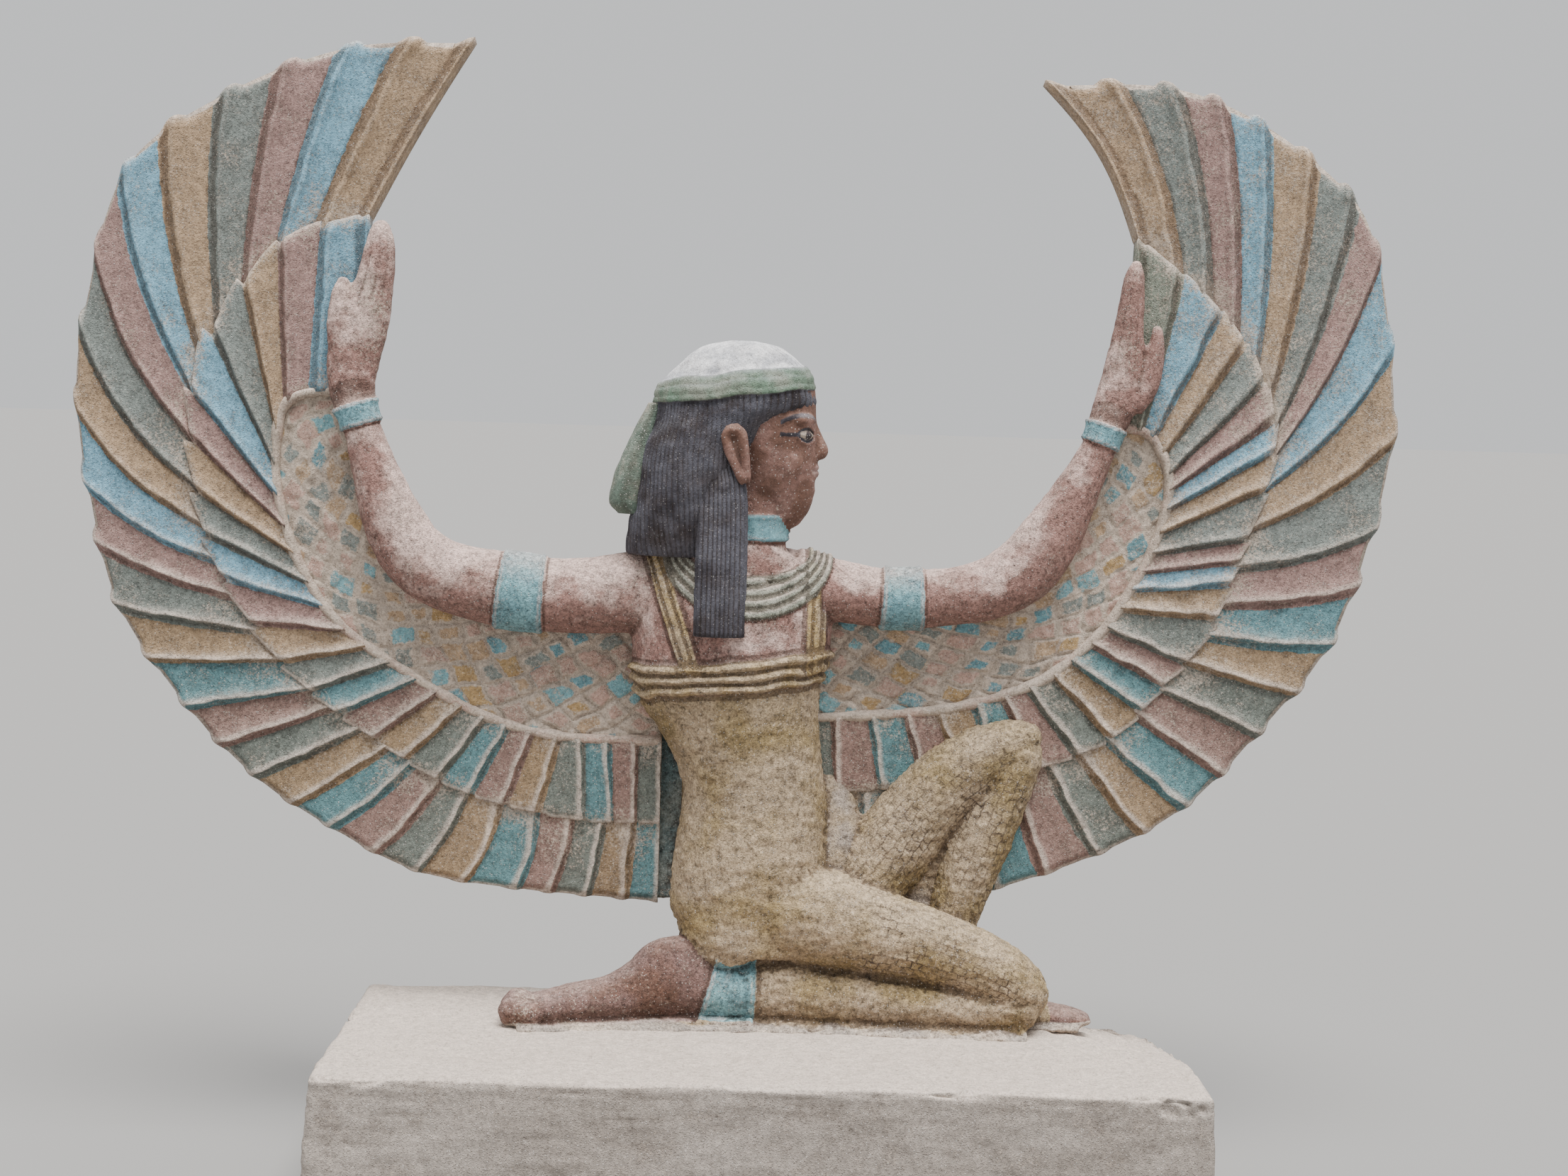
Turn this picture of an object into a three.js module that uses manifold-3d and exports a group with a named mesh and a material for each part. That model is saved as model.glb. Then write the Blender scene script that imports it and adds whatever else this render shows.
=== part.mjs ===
// A kneeling winged goddess on a low plinth, cast as one in sandy stone.
// Millimetres, +Z up. The figure looks towards +X, its chest and the front of its wings face -Y.
// The origin is the centre of the plinth's underside.
import * as THREE from "three";
import { mergeVertices } from "three/addons/utils/BufferGeometryUtils.js";
import Module from "manifold-3d";

const wasm = await Module();
wasm.setup();

// The plinth: a block with slightly battered sides and worn edges.
const PLINTH_WIDTH = 158;
const PLINTH_DEPTH = 72;
const PLINTH_HEIGHT = 26;
const PLINTH_BATTER = 1;
const PLINTH_CORNER = 3;
const PLINTH_EDGE = 2;
const WORN_CORNER = { width: 48, depth: 56, drop: 8 };

// Where the figure stands. From here on, x is measured from the middle of the body, y from the front
// of the wings, and z from the top of the plinth.
const FIGURE_AT = new THREE.Vector3(-7.4, 20, PLINTH_HEIGHT);

// The wings: flat-backed plates that thin towards the tips, with two rows of feathers and a plain
// shoulder band laid over the front.
const OUTER_FEATHERS = 26;
const INNER_FEATHERS = 23;
const PLATE_FRONT = 0.5;
const PLATE_BACK = 9.4;
const PLATE_TAPER = 0.028;
const PLATE_INSET = 1.8;
const PLATE_TIP_INSET = 0.3;
const FEATHER_BACK = 4.2;
const LAYER_BACK = 2.5;
const INNER_ROW_RISE = 1.2;
const SHOULDER_RISE = 0.4;
const CREST_HEIGHT = 0.8;
const GROOVE_DEPTH = 0.2;
const SCALLOP_DEPTH = 1.2;
const BORDER = { y: -0.6, radius: 1.2, depth: 1.7 };
const ROW_OVERLAP = 0.05;

// Across one feather: the crest at its lower edge, the groove beyond it, and the flat of the next one.
const FEATHER_STEPS = [
  { at: 0, rise: CREST_HEIGHT, cut: 0 },
  { at: 0.16, rise: -GROOVE_DEPTH, cut: 1 },
  { at: 0.78, rise: 0, cut: 0.7 },
];

// Each line of a wing runs from the wing tip to the body, as [feather, x, z].
// outline: the outer edge. middle: where the two rows meet. border: the cord round the shoulder band.
// spine: the middle of the arm, under which the plate ends. bow: how far a feather bends, in mm.
// meets: which outer feather an inner one meets, as [inner, outer].
const LEFT_WING = {
  outline: [
    [0, -51.5, 183.5], [2, -74.5, 182], [4, -97.5, 173], [6, -117, 158], [8, -125, 129],
    [9, -126, 114], [10, -124.2, 98.6], [12, -118.2, 75.2], [14, -104.8, 55.8], [16, -91.6, 42.6],
    [18, -76.8, 33], [20, -60, 24.8], [22, -40.6, 21.8], [26, -13, 20],
  ],
  middle: [
    [0, -70.5, 150], [2, -86, 145.5], [4, -98, 132], [6, -104, 118], [8, -103.5, 99],
    [10, -99.5, 84.5], [12, -91.5, 71], [14, -81.5, 60], [17, -66, 49], [20, -50.5, 40.5],
    [23, -30.5, 36], [26, -13, 35.5],
  ],
  border: [
    [0, -72, 117], [2, -85, 114.5], [4, -87.5, 103], [6, -85.5, 91], [8, -81, 80.5],
    [10, -74, 71.5], [13, -60.5, 62.5], [16, -47, 55.5], [19, -33, 52], [23, -13, 51.5],
  ],
  spine: [
    [0, -73, 118], [4, -69.5, 103], [8, -63, 88], [10, -57, 83], [13, -46, 80.5], [23, -13, 80],
  ],
  bow: [[0, 0.5], [4, 1], [8, 3], [11, 1], [14, 0], [20, 1], [26, 0]],
  meets: [[0, 0], [2, 2], [5, 6], [11, 13], [19, 22], [23, 26]],
};
const RIGHT_WING = {
  outline: [
    [0, 56, 179], [2, 79, 179.5], [4, 97, 173.5], [6, 114.5, 161], [7, 121, 149.5],
    [8, 124.5, 132], [9, 126, 115], [10, 123.2, 96.6], [12, 115.8, 73.8], [14, 102.4, 55.8],
    [16, 88.6, 41.2], [18, 72.2, 31.6], [20, 52.4, 24.2], [22, 38, 21.6], [26, 13, 20],
  ],
  middle: [
    [0, 74.5, 150], [2, 89, 141.5], [4, 99.5, 130], [6, 104.5, 116.5], [8, 103, 104],
    [10, 96.5, 88.5], [12, 91.5, 75], [14, 83, 64.5], [16, 73, 54], [19, 56, 47],
    [22, 39, 44], [26, 13, 42],
  ],
  border: [
    [0, 73.5, 114], [2, 78.5, 112.5], [4, 82, 106], [6, 82, 99], [8, 79.5, 90.5],
    [10, 76, 83.5], [12, 71.5, 76], [14, 65, 69.5], [16, 57, 64], [19, 40, 59], [23, 13, 56.5],
  ],
  spine: [
    [0, 69.5, 114], [4, 65, 104.5], [8, 59.5, 92.5], [10, 55.5, 86.5], [13, 46, 82], [23, 13, 82],
  ],
  bow: [[0, -2.5], [4, -1], [8, -2], [11, -1], [14, 0], [20, -1], [26, 0]],
  meets: [[0, 0], [2, 2.5], [6, 6.7], [8, 9.2], [12, 13], [23, 26]],
};

// A limb is a row of sections along its middle, as [x, y, z, radius, depth]: the radius is measured
// in the plane of the picture, the depth from front to back.
const TORSO = [
  [3, -6, 10.5, 3, 4], [2.8, -5, 13, 9, 10], [4, -4, 18.5, 13.6, 12], [4.5, -4, 29.4, 14.5, 12.5],
  [4.8, -4, 36, 14, 12], [4.9, -4, 41, 13.6, 11.5], [4.4, -4, 46.6, 13.4, 11.5],
  [3, -4, 53, 14.2, 12], [1.2, -4, 60, 16.2, 13], [-0.2, -4, 66, 18.4, 13.8],
  [-0.2, -4, 76, 19, 13.5], [0, -4, 82, 18.6, 12], [0.5, -4.5, 86, 16, 9.5], [2, -5, 89, 9, 7],
];
const LEFT_ARM = [
  [-12, -4, 80.5, 8, 8], [-18, -4, 80.4, 7.8, 7.5], [-27, -4, 79.3, 7.2, 6.8],
  [-36, -4, 79.3, 7, 6.6], [-44.5, -4, 80.2, 7.1, 6.4], [-51, -4, 81.4, 6.8, 6.2],
  [-56, -4, 83, 6.6, 6], [-60.8, -4, 86.5, 6.4, 6], [-64.8, -4, 93, 5.7, 5.6],
  [-68, -4, 101.5, 4.4, 4.8], [-70.4, -4, 108.8, 3.6, 4], [-72.3, -3.6, 114.5, 3.6, 3.8],
];
const RIGHT_ARM = [
  [12, -4, 82, 7.5, 8], [19, -4, 81.6, 6, 6.8], [27.5, -4, 80.5, 5.6, 6.2], [35, -4, 80.5, 5.6, 6],
  [42, -4, 81.2, 5.5, 6], [49, -4, 83, 5.9, 6], [55, -4, 86.8, 6.3, 6], [59.3, -4, 92.5, 5.9, 5.6],
  [62.4, -4, 98, 5, 5.2], [65.6, -4, 104.5, 3.9, 4.6], [68.1, -4, 110, 3.3, 4],
  [69.6, -3.6, 114.5, 3.4, 3.8],
];
const LEFT_HAND = [
  [-72, -3.6, 112.5, 3.8, 3.6], [-73, -3.2, 119, 4.6, 3.4], [-72.3, -3, 125, 5.2, 3.2],
  [-70.6, -3, 131, 4.8, 3], [-69, -3, 137, 3.7, 2.8], [-68.2, -3, 143, 3, 2.6],
  [-68, -3, 147, 2, 2], [-68, -3, 148.6, 0.9, 1],
];
const LEFT_THUMB = [
  [-74.5, -3, 121, 2.4, 2.6], [-75.6, -3.4, 128, 2.2, 2.6], [-75.2, -3.6, 134, 1.9, 2.2],
  [-74.6, -3.6, 137.8, 0.9, 1],
];
const RIGHT_HAND = [
  [69, -3.6, 112.5, 3.3, 3.6], [70.6, -3.2, 117, 4, 3.4], [71.8, -3, 121.5, 4, 3.2],
  [72.6, -3, 127, 3.5, 3], [73.2, -3, 134, 2.7, 2.8], [73.8, -3, 141.5, 2, 2.4],
  [74.2, -3, 145.6, 0.9, 1],
];
const RIGHT_THUMB = [
  [74.4, -3, 117.5, 2, 2.6], [76.9, -3.4, 121.5, 2.1, 2.6], [78.2, -3.6, 127, 1.8, 2.2],
  [78.5, -3.6, 133.4, 0.9, 1],
];
const NEAR_THIGH = [
  [2, -5, 22, 8, 10], [9, -6.5, 21.6, 9.6, 9.6], [18.5, -8, 19.7, 9.2, 8.8], [28, -9, 17.6, 8, 8],
  [38, -10, 15.4, 7, 7.4], [47.5, -11, 12.6, 6.2, 7], [54, -11.5, 9.4, 5.6, 6.6],
  [58.6, -11.5, 6.4, 3.9, 5], [60.8, -11.5, 5, 1.6, 2.4],
];
const NEAR_SHIN = [
  [59.5, -11.5, 4.6, 2, 3.5], [56, -11.5, 4.4, 4.6, 5.8], [43, -11, 4.2, 4.4, 6.2],
  [29, -10, 4.6, 5, 6.2], [12, -9, 5.2, 5.9, 6], [0, -9, 5.8, 5.7, 5.6], [-9, -9.5, 7.8, 8, 5.8],
  [-15.5, -10, 5.6, 5.8, 5.8], [-21.5, -11, 4, 4.2, 5.8], [-29, -12.5, 3.2, 3.4, 5.8],
  [-35, -13.8, 2.6, 2.6, 5.8], [-39.2, -14.5, 2.7, 2.5, 5.6], [-41.4, -14.8, 2.5, 1, 3.4],
];
const FAR_THIGH = [
  [16, -2, 17, 8, 7.5], [24, -1.5, 23, 8.6, 7.5], [30.5, -1.5, 31, 8.2, 7.2],
  [38, -1.5, 41, 7.5, 6.8], [44.5, -1.5, 47.4, 6.9, 6.6], [51.5, -1.5, 51.8, 5.8, 6.2],
  [57, -1.5, 54.4, 3.6, 4.6], [59.3, -1.5, 55.4, 1.4, 2],
];
const FAR_SHIN = [
  [57.6, -1.5, 55, 1.8, 3], [56, -1.5, 51, 4.1, 5.6], [53, -1.5, 44.5, 5.2, 6],
  [49, -1.5, 35.5, 6, 6.2], [45.5, -1.5, 26, 5.7, 6], [42.5, -1.5, 15, 4.9, 5.4],
  [41, -2, 7, 4.6, 5], [41, -2, 0.5, 4.8, 4.6],
];
const FAR_FOOT = [
  [36.5, -2, 2, 2.2, 4], [42, -2.4, 3, 3.4, 5], [52, -3, 2.6, 3, 5.2], [61, -3.6, 1.6, 2, 5.4],
  [68, -4, 0.8, 1.4, 5], [70.5, -4.2, 0.4, 0.7, 3],
];

// The head is turned to +X, and its two sides are alike about HEAD_DEPTH.
const HEAD_DEPTH = -6;
const WIG = [
  [0.4, HEAD_DEPTH, 128, 2.6, 2], [0.4, HEAD_DEPTH, 126.8, 7.4, 6.4],
  [0.4, HEAD_DEPTH, 123.6, 11.6, 10], [-0.6, HEAD_DEPTH, 119, 14.2, 12.2],
  [-3, HEAD_DEPTH, 113, 13.6, 12.8], [-7, HEAD_DEPTH, 107, 11.2, 13.2],
  [-8.4, HEAD_DEPTH, 100, 10.4, 13.4], [-9, HEAD_DEPTH, 93, 11.2, 13.4],
  [-9.4, HEAD_DEPTH, 87, 12, 12.6],
];
const HEADBAND = { low: 117, high: 121.4, tilt: 0.09, proud: 0.7 };
const FACE = [
  [5.6, HEAD_DEPTH, 95.4, 4.4, 3], [7.2, HEAD_DEPTH, 97.2, 7.6, 6.4], [6.2, HEAD_DEPTH, 102, 9, 8.4],
  [5.6, HEAD_DEPTH, 107, 9.4, 9.4], [5.4, HEAD_DEPTH, 112.5, 9.3, 9.6], [5, HEAD_DEPTH, 119, 9.2, 9],
];
const NOSE = [
  [13.6, HEAD_DEPTH, 113, 0.8, 1.2], [14.6, HEAD_DEPTH, 109, 1.4, 1.5], [15.4, HEAD_DEPTH, 106, 2.2, 2.3],
  [14.8, HEAD_DEPTH, 104.4, 1.4, 2.2],
];
const LIPS = [
  [13.8, HEAD_DEPTH, 103.4, 1, 2], [14.4, HEAD_DEPTH, 101.8, 1.6, 3.2], [13.8, HEAD_DEPTH, 100.2, 1, 2],
];
const NECK = [[4.3, HEAD_DEPTH, 84, 6.6, 7], [4.3, HEAD_DEPTH, 90, 6, 6.2], [4.3, HEAD_DEPTH, 99, 6, 6.2]];
const EAR = { x: -0.2, z: 106.8, half: 2.4, height: 5.4, reach: 2.4, out: 11.4, tilt: -0.3 };
const RIBBON = [
  [-15.6, HEAD_DEPTH, 115, 1.4, 4], [-17.6, HEAD_DEPTH, 109, 2.4, 5], [-19.6, HEAD_DEPTH, 102, 3.2, 6],
  [-20.6, HEAD_DEPTH, 98, 2.8, 6], [-20, HEAD_DEPTH, 95.6, 1.2, 4.4],
];
const LAPPET = [
  [-3.8, -13.5, 112, 3, 4], [-3.2, -15.4, 106, 4, 4.4], [-2.5, -16, 98, 4.8, 4.4],
  [-2.5, -16, 73.4, 4.8, 4.4],
];

// What is worn: raised a little above the skin, as [start, end] along its limb, in sections.
const COLLAR = { x: 2, z: 88, half: 16.6, drop: 11.4, proud: 0.8 };
const STRAPS = [
  { from: [-18.4, 89], to: [-9.4, 68], width: 4.4 },
  { from: [15.4, 89], to: [15, 68], width: 4.4 },
];
const STRAP_PROUD = 0.6;
const DRESS_TOP = { low: 62.6, high: 68.8, tilt: 0.1, proud: 0.9 };
const JEWEL_PROUD = 0.5;
const JEWELS = [
  { limb: LEFT_ARM, span: [3.25, 3.98] },
  { limb: RIGHT_ARM, span: [2.05, 3.1] },
  { limb: LEFT_ARM, span: [10.2, 10.95] },
  { limb: RIGHT_ARM, span: [10.1, 10.95] },
  { limb: NEAR_SHIN, span: [4.45, 5.3] },
  { limb: NECK, span: [1.1, 1.65] },
];

const LIMB_SIDES = 10;
const TORSO_SIDES = 18;
const HEAD_SIDES = 14;
const CORD_SIDES = 6;
const SMALL_SIDES = 8;

// The size of a cutting shape that reaches past anything on the body.
const CUTTER = 80;

// The plate between the two wings, behind the body, and the web of stone at the hip.
const BACK_PLATE = { half: 14, low: 20.6, high: 85, front: 0.6, back: PLATE_BACK };
const BACK_SWELL = [
  [0, 3, 16, 10, 7], [1, 3, 30, 11, 8], [2, 3, 45, 10, 8], [1, 3, 60, 12, 8.5], [0, 3, 76, 14, 8.5],
  [1, 2, 88, 9, 7],
];
const HIP_WEB = [[19, -0.5, 22, 6, 6], [18.5, -0.5, 32, 5, 5], [17.5, 0, 41, 2, 3]];
const STONE_COLOUR = 0x9a8878;

// The closed solid inside a three.js geometry, with its faces turned outwards.
function solidFrom(geometry) {
  const bare = geometry.clone();
  bare.deleteAttribute("normal");
  bare.deleteAttribute("uv");
  const merged = mergeVertices(bare, 1e-3);
  const corners = merged.getAttribute("position");
  const faces = new Uint32Array(merged.index.array);
  const [a, b, c] = [new THREE.Vector3(), new THREE.Vector3(), new THREE.Vector3()];
  let volume = 0;
  for (let i = 0; i < faces.length; i += 3) {
    a.fromBufferAttribute(corners, faces[i]);
    b.fromBufferAttribute(corners, faces[i + 1]);
    c.fromBufferAttribute(corners, faces[i + 2]);
    volume += a.dot(b.cross(c));
  }
  if (volume < 0) {
    faces.reverse();
  }
  const mesh = new wasm.Mesh({ numProp: 3, vertProperties: corners.array, triVerts: faces });
  return new wasm.Manifold(mesh);
}

// A three.js geometry with every corner moved to the place that the function gives it.
function moved(geometry, place) {
  const corners = geometry.getAttribute("position");
  for (let i = 0; i < corners.count; i += 1) {
    const spot = place(new THREE.Vector3().fromBufferAttribute(corners, i));
    corners.setXYZ(i, spot.x, spot.y, spot.z);
  }
  return geometry;
}

// A smooth curve through knots [feather, x, z], read by its feather number.
function line(knots) {
  const points = knots.map(([, x, z = 0]) => new THREE.Vector3(x, 0, z));
  const curve = new THREE.CatmullRomCurve3(points, false, "catmullrom");
  const last = knots.length - 1;
  return (feather) => {
    const next = knots.findIndex(([at]) => at > feather);
    const i = (next < 0 ? last : next) - 1;
    const share = (feather - knots[i][0]) / (knots[i + 1][0] - knots[i][0]);
    return curve.getPoint(THREE.MathUtils.clamp((i + share) / last, 0, 1));
  };
}

// A body along a row of sections, with each ring across the middle line. proud makes it fatter all
// round, and span takes only the stretch between two sections.
function limb(sections, sides = LIMB_SIDES, proud = 0, span = [0, sections.length - 1]) {
  const spots = sections.map(([x, y, z]) => new THREE.Vector3(x, y, z));
  const sizes = sections.map(([, , , radius, depth]) => new THREE.Vector3(radius, depth, 0));
  const middle = new THREE.CatmullRomCurve3(spots, false, "catmullrom");
  const size = new THREE.CatmullRomCurve3(sizes, false, "catmullrom");
  const last = sections.length - 1;
  const steps = Math.max(1, Math.round(span[1] - span[0]));
  const place = (corner) => {
    const t = THREE.MathUtils.lerp(span[0], span[1], corner.y + 0.5) / last;
    const forward = middle.getTangent(t);
    const across = new THREE.Vector3(forward.z, 0, -forward.x).normalize();
    const here = size.getPoint(t).addScalar(proud);
    const spot = middle.getPoint(t).addScaledVector(across, corner.x * here.x);
    spot.y += corner.z * here.y;
    return spot;
  };
  return solidFrom(moved(new THREE.CylinderGeometry(1, 1, 1, sides, steps), place));
}

// A straight box at a spot, turned about Y.
function block(width, depth, height, at, turn = 0) {
  const box = new THREE.BoxGeometry(width, depth, height);
  box.rotateY(turn);
  box.translate(...at);
  return solidFrom(box);
}

// Solids made into one.
function joined(solids) {
  return solids.reduce((whole, solid) => whole.add(solid));
}

// A grid of cells over a wing, columns by rows, as a closed slab. The function gives each corner its
// spot from how far along the wing it is, how far across, and whether it is on the front.
function slab(columns, rows, spotAt) {
  const place = (corner) => spotAt((corner.x + 0.5) * columns, corner.y + 0.5, corner.z > 0);
  return solidFrom(moved(new THREE.BoxGeometry(1, 1, 1, columns, rows, 1), place));
}

// The spot between two points at a share of the way, pushed sideways at the middle of the way.
function between(start, end, share, bend) {
  const reach = end.clone().sub(start);
  const sideways = new THREE.Vector3(reach.z, 0, -reach.x).normalize();
  const push = bend * Math.sin(Math.PI * Math.min(1, share));
  return start.clone().addScaledVector(reach, share).addScaledVector(sideways, push);
}

// A row of feathers between two lines of the wing, with a crest along each feather's lower edge.
function featherRow({ count, rows, from, to, bow, lift, back, scallop, overlap }) {
  const steps = FEATHER_STEPS.length;
  return slab(count * steps, rows, (along, across, front) => {
    const column = Math.round(along);
    const step = FEATHER_STEPS[column % steps];
    const feather = Math.floor(column / steps) + step.at;
    const [start, end] = [from(feather), to(feather)];
    const spot = between(start, end, across * (1 + overlap), bow(feather));
    if (across === 0) {
      spot.addScaledVector(end.sub(start).normalize(), scallop * step.cut);
    }
    spot.y = front ? -lift - step.rise : back;
    return spot;
  });
}

function wing(lines) {
  const outline = line(lines.outline);
  const middle = line(lines.middle);
  const border = line(lines.border);
  const spine = line(lines.spine);
  const meets = line(lines.meets);
  const bow = line(lines.bow);
  const outerRow = featherRow({
    count: OUTER_FEATHERS, rows: 2, from: outline, to: middle, bow: (feather) => bow(feather).x,
    lift: 0, back: FEATHER_BACK, scallop: SCALLOP_DEPTH, overlap: ROW_OVERLAP,
  });
  const innerRow = featherRow({
    count: INNER_FEATHERS, rows: 1, from: (feather) => middle(meets(feather).x), to: border,
    bow: () => 0, lift: INNER_ROW_RISE, back: LAYER_BACK, scallop: 0, overlap: 0,
  });
  const band = slab(INNER_FEATHERS, 1, (feather, across, front) => {
    const spot = border(feather).lerp(spine(feather), across);
    spot.y = front ? -SHOULDER_RISE : LAYER_BACK;
    return spot;
  });
  const plate = slab(INNER_FEATHERS, 4, (along, across, front) => {
    const feather = Math.max(along, PLATE_TIP_INSET);
    const outer = meets(feather).x;
    const [edge, fold] = [outline(outer), middle(outer)];
    edge.addScaledVector(fold.clone().sub(edge).normalize(), PLATE_INSET);
    const halfway = between(edge, fold, 0.5, bow(outer).x);
    const spot = [edge, halfway, fold, border(feather), spine(feather)][Math.round(across * 4)];
    spot.y = front ? PLATE_FRONT : PLATE_BACK - PLATE_TAPER * Math.abs(spot.x);
    return spot;
  });
  const cord = Array.from({ length: INNER_FEATHERS + 1 }, (_, feather) => {
    const { x, z } = border(feather);
    return [x, BORDER.y, z, BORDER.radius, BORDER.depth];
  });
  return joined([plate, outerRow, innerRow, band, limb(cord, CORD_SIDES)]);
}

function plinth() {
  const half = { x: PLINTH_WIDTH / 2 - PLINTH_EDGE, y: PLINTH_DEPTH / 2 - PLINTH_EDGE };
  const corner = PLINTH_CORNER;
  const outline = new THREE.Shape();
  outline.absarc(half.x - corner, half.y - corner, corner, 0, Math.PI / 2);
  outline.absarc(corner - half.x, half.y - corner, corner, Math.PI / 2, Math.PI);
  outline.absarc(corner - half.x, corner - half.y, corner, Math.PI, 1.5 * Math.PI);
  outline.absarc(half.x - corner, corner - half.y, corner, 1.5 * Math.PI, 2 * Math.PI);
  const cast = new THREE.ExtrudeGeometry(outline, {
    depth: PLINTH_HEIGHT, curveSegments: 3, bevelSize: PLINTH_EDGE, bevelThickness: PLINTH_EDGE,
    bevelSegments: 2,
  });
  cast.translate(0, 0, -PLINTH_EDGE);
  const battered = moved(cast, (spot) => {
    const inset = 1 - (PLINTH_BATTER * spot.z) / PLINTH_HEIGHT / (PLINTH_DEPTH / 2);
    return spot.multiply(new THREE.Vector3(1 - (1 - inset) * (PLINTH_DEPTH / PLINTH_WIDTH), inset, 1));
  });
  const ground = block(2 * PLINTH_WIDTH, 2 * PLINTH_DEPTH, PLINTH_HEIGHT, [0, 0, -PLINTH_HEIGHT / 2]);
  return solidFrom(battered).subtract(ground).subtract(wornCorner());
}

// What is worn off the plinth's back right corner: everything above a slanting plane.
function wornCorner() {
  const corner = new THREE.Vector3(PLINTH_WIDTH / 2, PLINTH_DEPTH / 2, PLINTH_HEIGHT - WORN_CORNER.drop);
  const inward = new THREE.Vector3(-WORN_CORNER.width, 0, WORN_CORNER.drop);
  const forward = new THREE.Vector3(0, -WORN_CORNER.depth, WORN_CORNER.drop);
  const up = inward.clone().cross(forward).normalize();
  const side = inward.clone().normalize();
  const turn = new THREE.Matrix4().makeBasis(side, up.clone().cross(side), up);
  const worn = new THREE.BoxGeometry(3 * PLINTH_WIDTH, 3 * PLINTH_WIDTH, PLINTH_HEIGHT);
  worn.translate(0, 0, PLINTH_HEIGHT / 2);
  worn.applyMatrix4(turn);
  worn.translate(corner.x, corner.y, corner.z);
  return solidFrom(worn);
}

function head() {
  const wig = limb(WIG, HEAD_SIDES);
  const bandHeight = HEADBAND.high - HEADBAND.low;
  const bandPlace = [0, HEAD_DEPTH, (HEADBAND.high + HEADBAND.low) / 2];
  const band = limb(WIG, HEAD_SIDES, HEADBAND.proud)
    .intersect(block(CUTTER, CUTTER, bandHeight, bandPlace, -HEADBAND.tilt));
  const ears = [-1, 1].map((side) => {
    const ear = new THREE.SphereGeometry(1, SMALL_SIDES, CORD_SIDES);
    ear.scale(EAR.half, EAR.reach, EAR.height);
    ear.rotateY(EAR.tilt);
    ear.translate(EAR.x, HEAD_DEPTH + side * EAR.out, EAR.z);
    return solidFrom(ear);
  });
  return joined([
    wig, band, limb(FACE, HEAD_SIDES), limb(NOSE, CORD_SIDES), limb(LIPS, CORD_SIDES), limb(NECK),
    limb(RIBBON, SMALL_SIDES), limb(LAPPET, SMALL_SIDES), ...ears,
  ]);
}

// What is worn on the chest: the collar, the two straps and the top of the dress.
function dressing() {
  const drawn = (proud, prism) => limb(TORSO, TORSO_SIDES, proud).intersect(prism);
  const disc = new THREE.CylinderGeometry(1, 1, CUTTER, TORSO_SIDES);
  disc.scale(COLLAR.half, 1, COLLAR.drop);
  disc.translate(COLLAR.x, -CUTTER / 2, COLLAR.z);
  const straps = STRAPS.map(({ from, to, width }) => {
    const [dx, dz] = [to[0] - from[0], to[1] - from[1]];
    const middle = [(from[0] + to[0]) / 2, -CUTTER / 2, (from[1] + to[1]) / 2];
    const prism = block(width, CUTTER, Math.hypot(dx, dz), middle, Math.atan2(dx, dz));
    return drawn(STRAP_PROUD, prism);
  });
  const topHeight = DRESS_TOP.high - DRESS_TOP.low;
  const topPlace = [0, 0, (DRESS_TOP.high + DRESS_TOP.low) / 2];
  const top = drawn(DRESS_TOP.proud, block(CUTTER, CUTTER, topHeight, topPlace, -DRESS_TOP.tilt));
  return joined([drawn(COLLAR.proud, solidFrom(disc)), ...straps, top]);
}

function figure() {
  const limbs = [LEFT_ARM, RIGHT_ARM, NEAR_THIGH, NEAR_SHIN, FAR_THIGH, FAR_SHIN, BACK_SWELL, HIP_WEB];
  const small = [LEFT_HAND, LEFT_THUMB, RIGHT_HAND, RIGHT_THUMB, FAR_FOOT];
  const plate = BACK_PLATE;
  const plateSize = [2 * plate.half, plate.back - plate.front, plate.high - plate.low];
  const platePlace = [0, (plate.back + plate.front) / 2, (plate.high + plate.low) / 2];
  return joined([
    limb(TORSO, TORSO_SIDES), head(), dressing(), block(...plateSize, platePlace),
    ...limbs.map((sections) => limb(sections)),
    ...small.map((sections) => limb(sections, SMALL_SIDES)),
    ...JEWELS.map(({ limb: sections, span }) => limb(sections, LIMB_SIDES, JEWEL_PROUD, span)),
    wing(LEFT_WING), wing(RIGHT_WING),
  ]);
}

const statue = figure().translate([FIGURE_AT.x, FIGURE_AT.y, FIGURE_AT.z]).add(plinth());
const { vertProperties, triVerts } = statue.getMesh();
const geometry = new THREE.BufferGeometry();
geometry.setAttribute("position", new THREE.BufferAttribute(vertProperties, 3));
geometry.setIndex(new THREE.BufferAttribute(triVerts, 1));
geometry.computeVertexNormals();

const stone = new THREE.MeshStandardMaterial({ color: STONE_COLOUR, roughness: 0.95, metalness: 0 });
const isisStatue = new THREE.Mesh(geometry, stone);
isisStatue.name = "isis_statue";

const part = new THREE.Group();
part.add(isisStatue);
export default part;
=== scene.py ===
"""The kneeling winged goddess in her painted, sandy stone: wings, body, head, hands and plinth.

Sizes are in millimetres from the figure's own point, as in the part's source: x from the middle of
the body, y from the front of the wings and z from the top of the plinth. Blender's objects are in
metres in the part's frame.
"""

from __future__ import annotations

import logging
import math
from collections.abc import Callable, Sequence
from dataclasses import dataclass, field
from enum import Enum

import bmesh
import bpy
import numpy as np
from mathutils import Matrix, Vector

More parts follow.
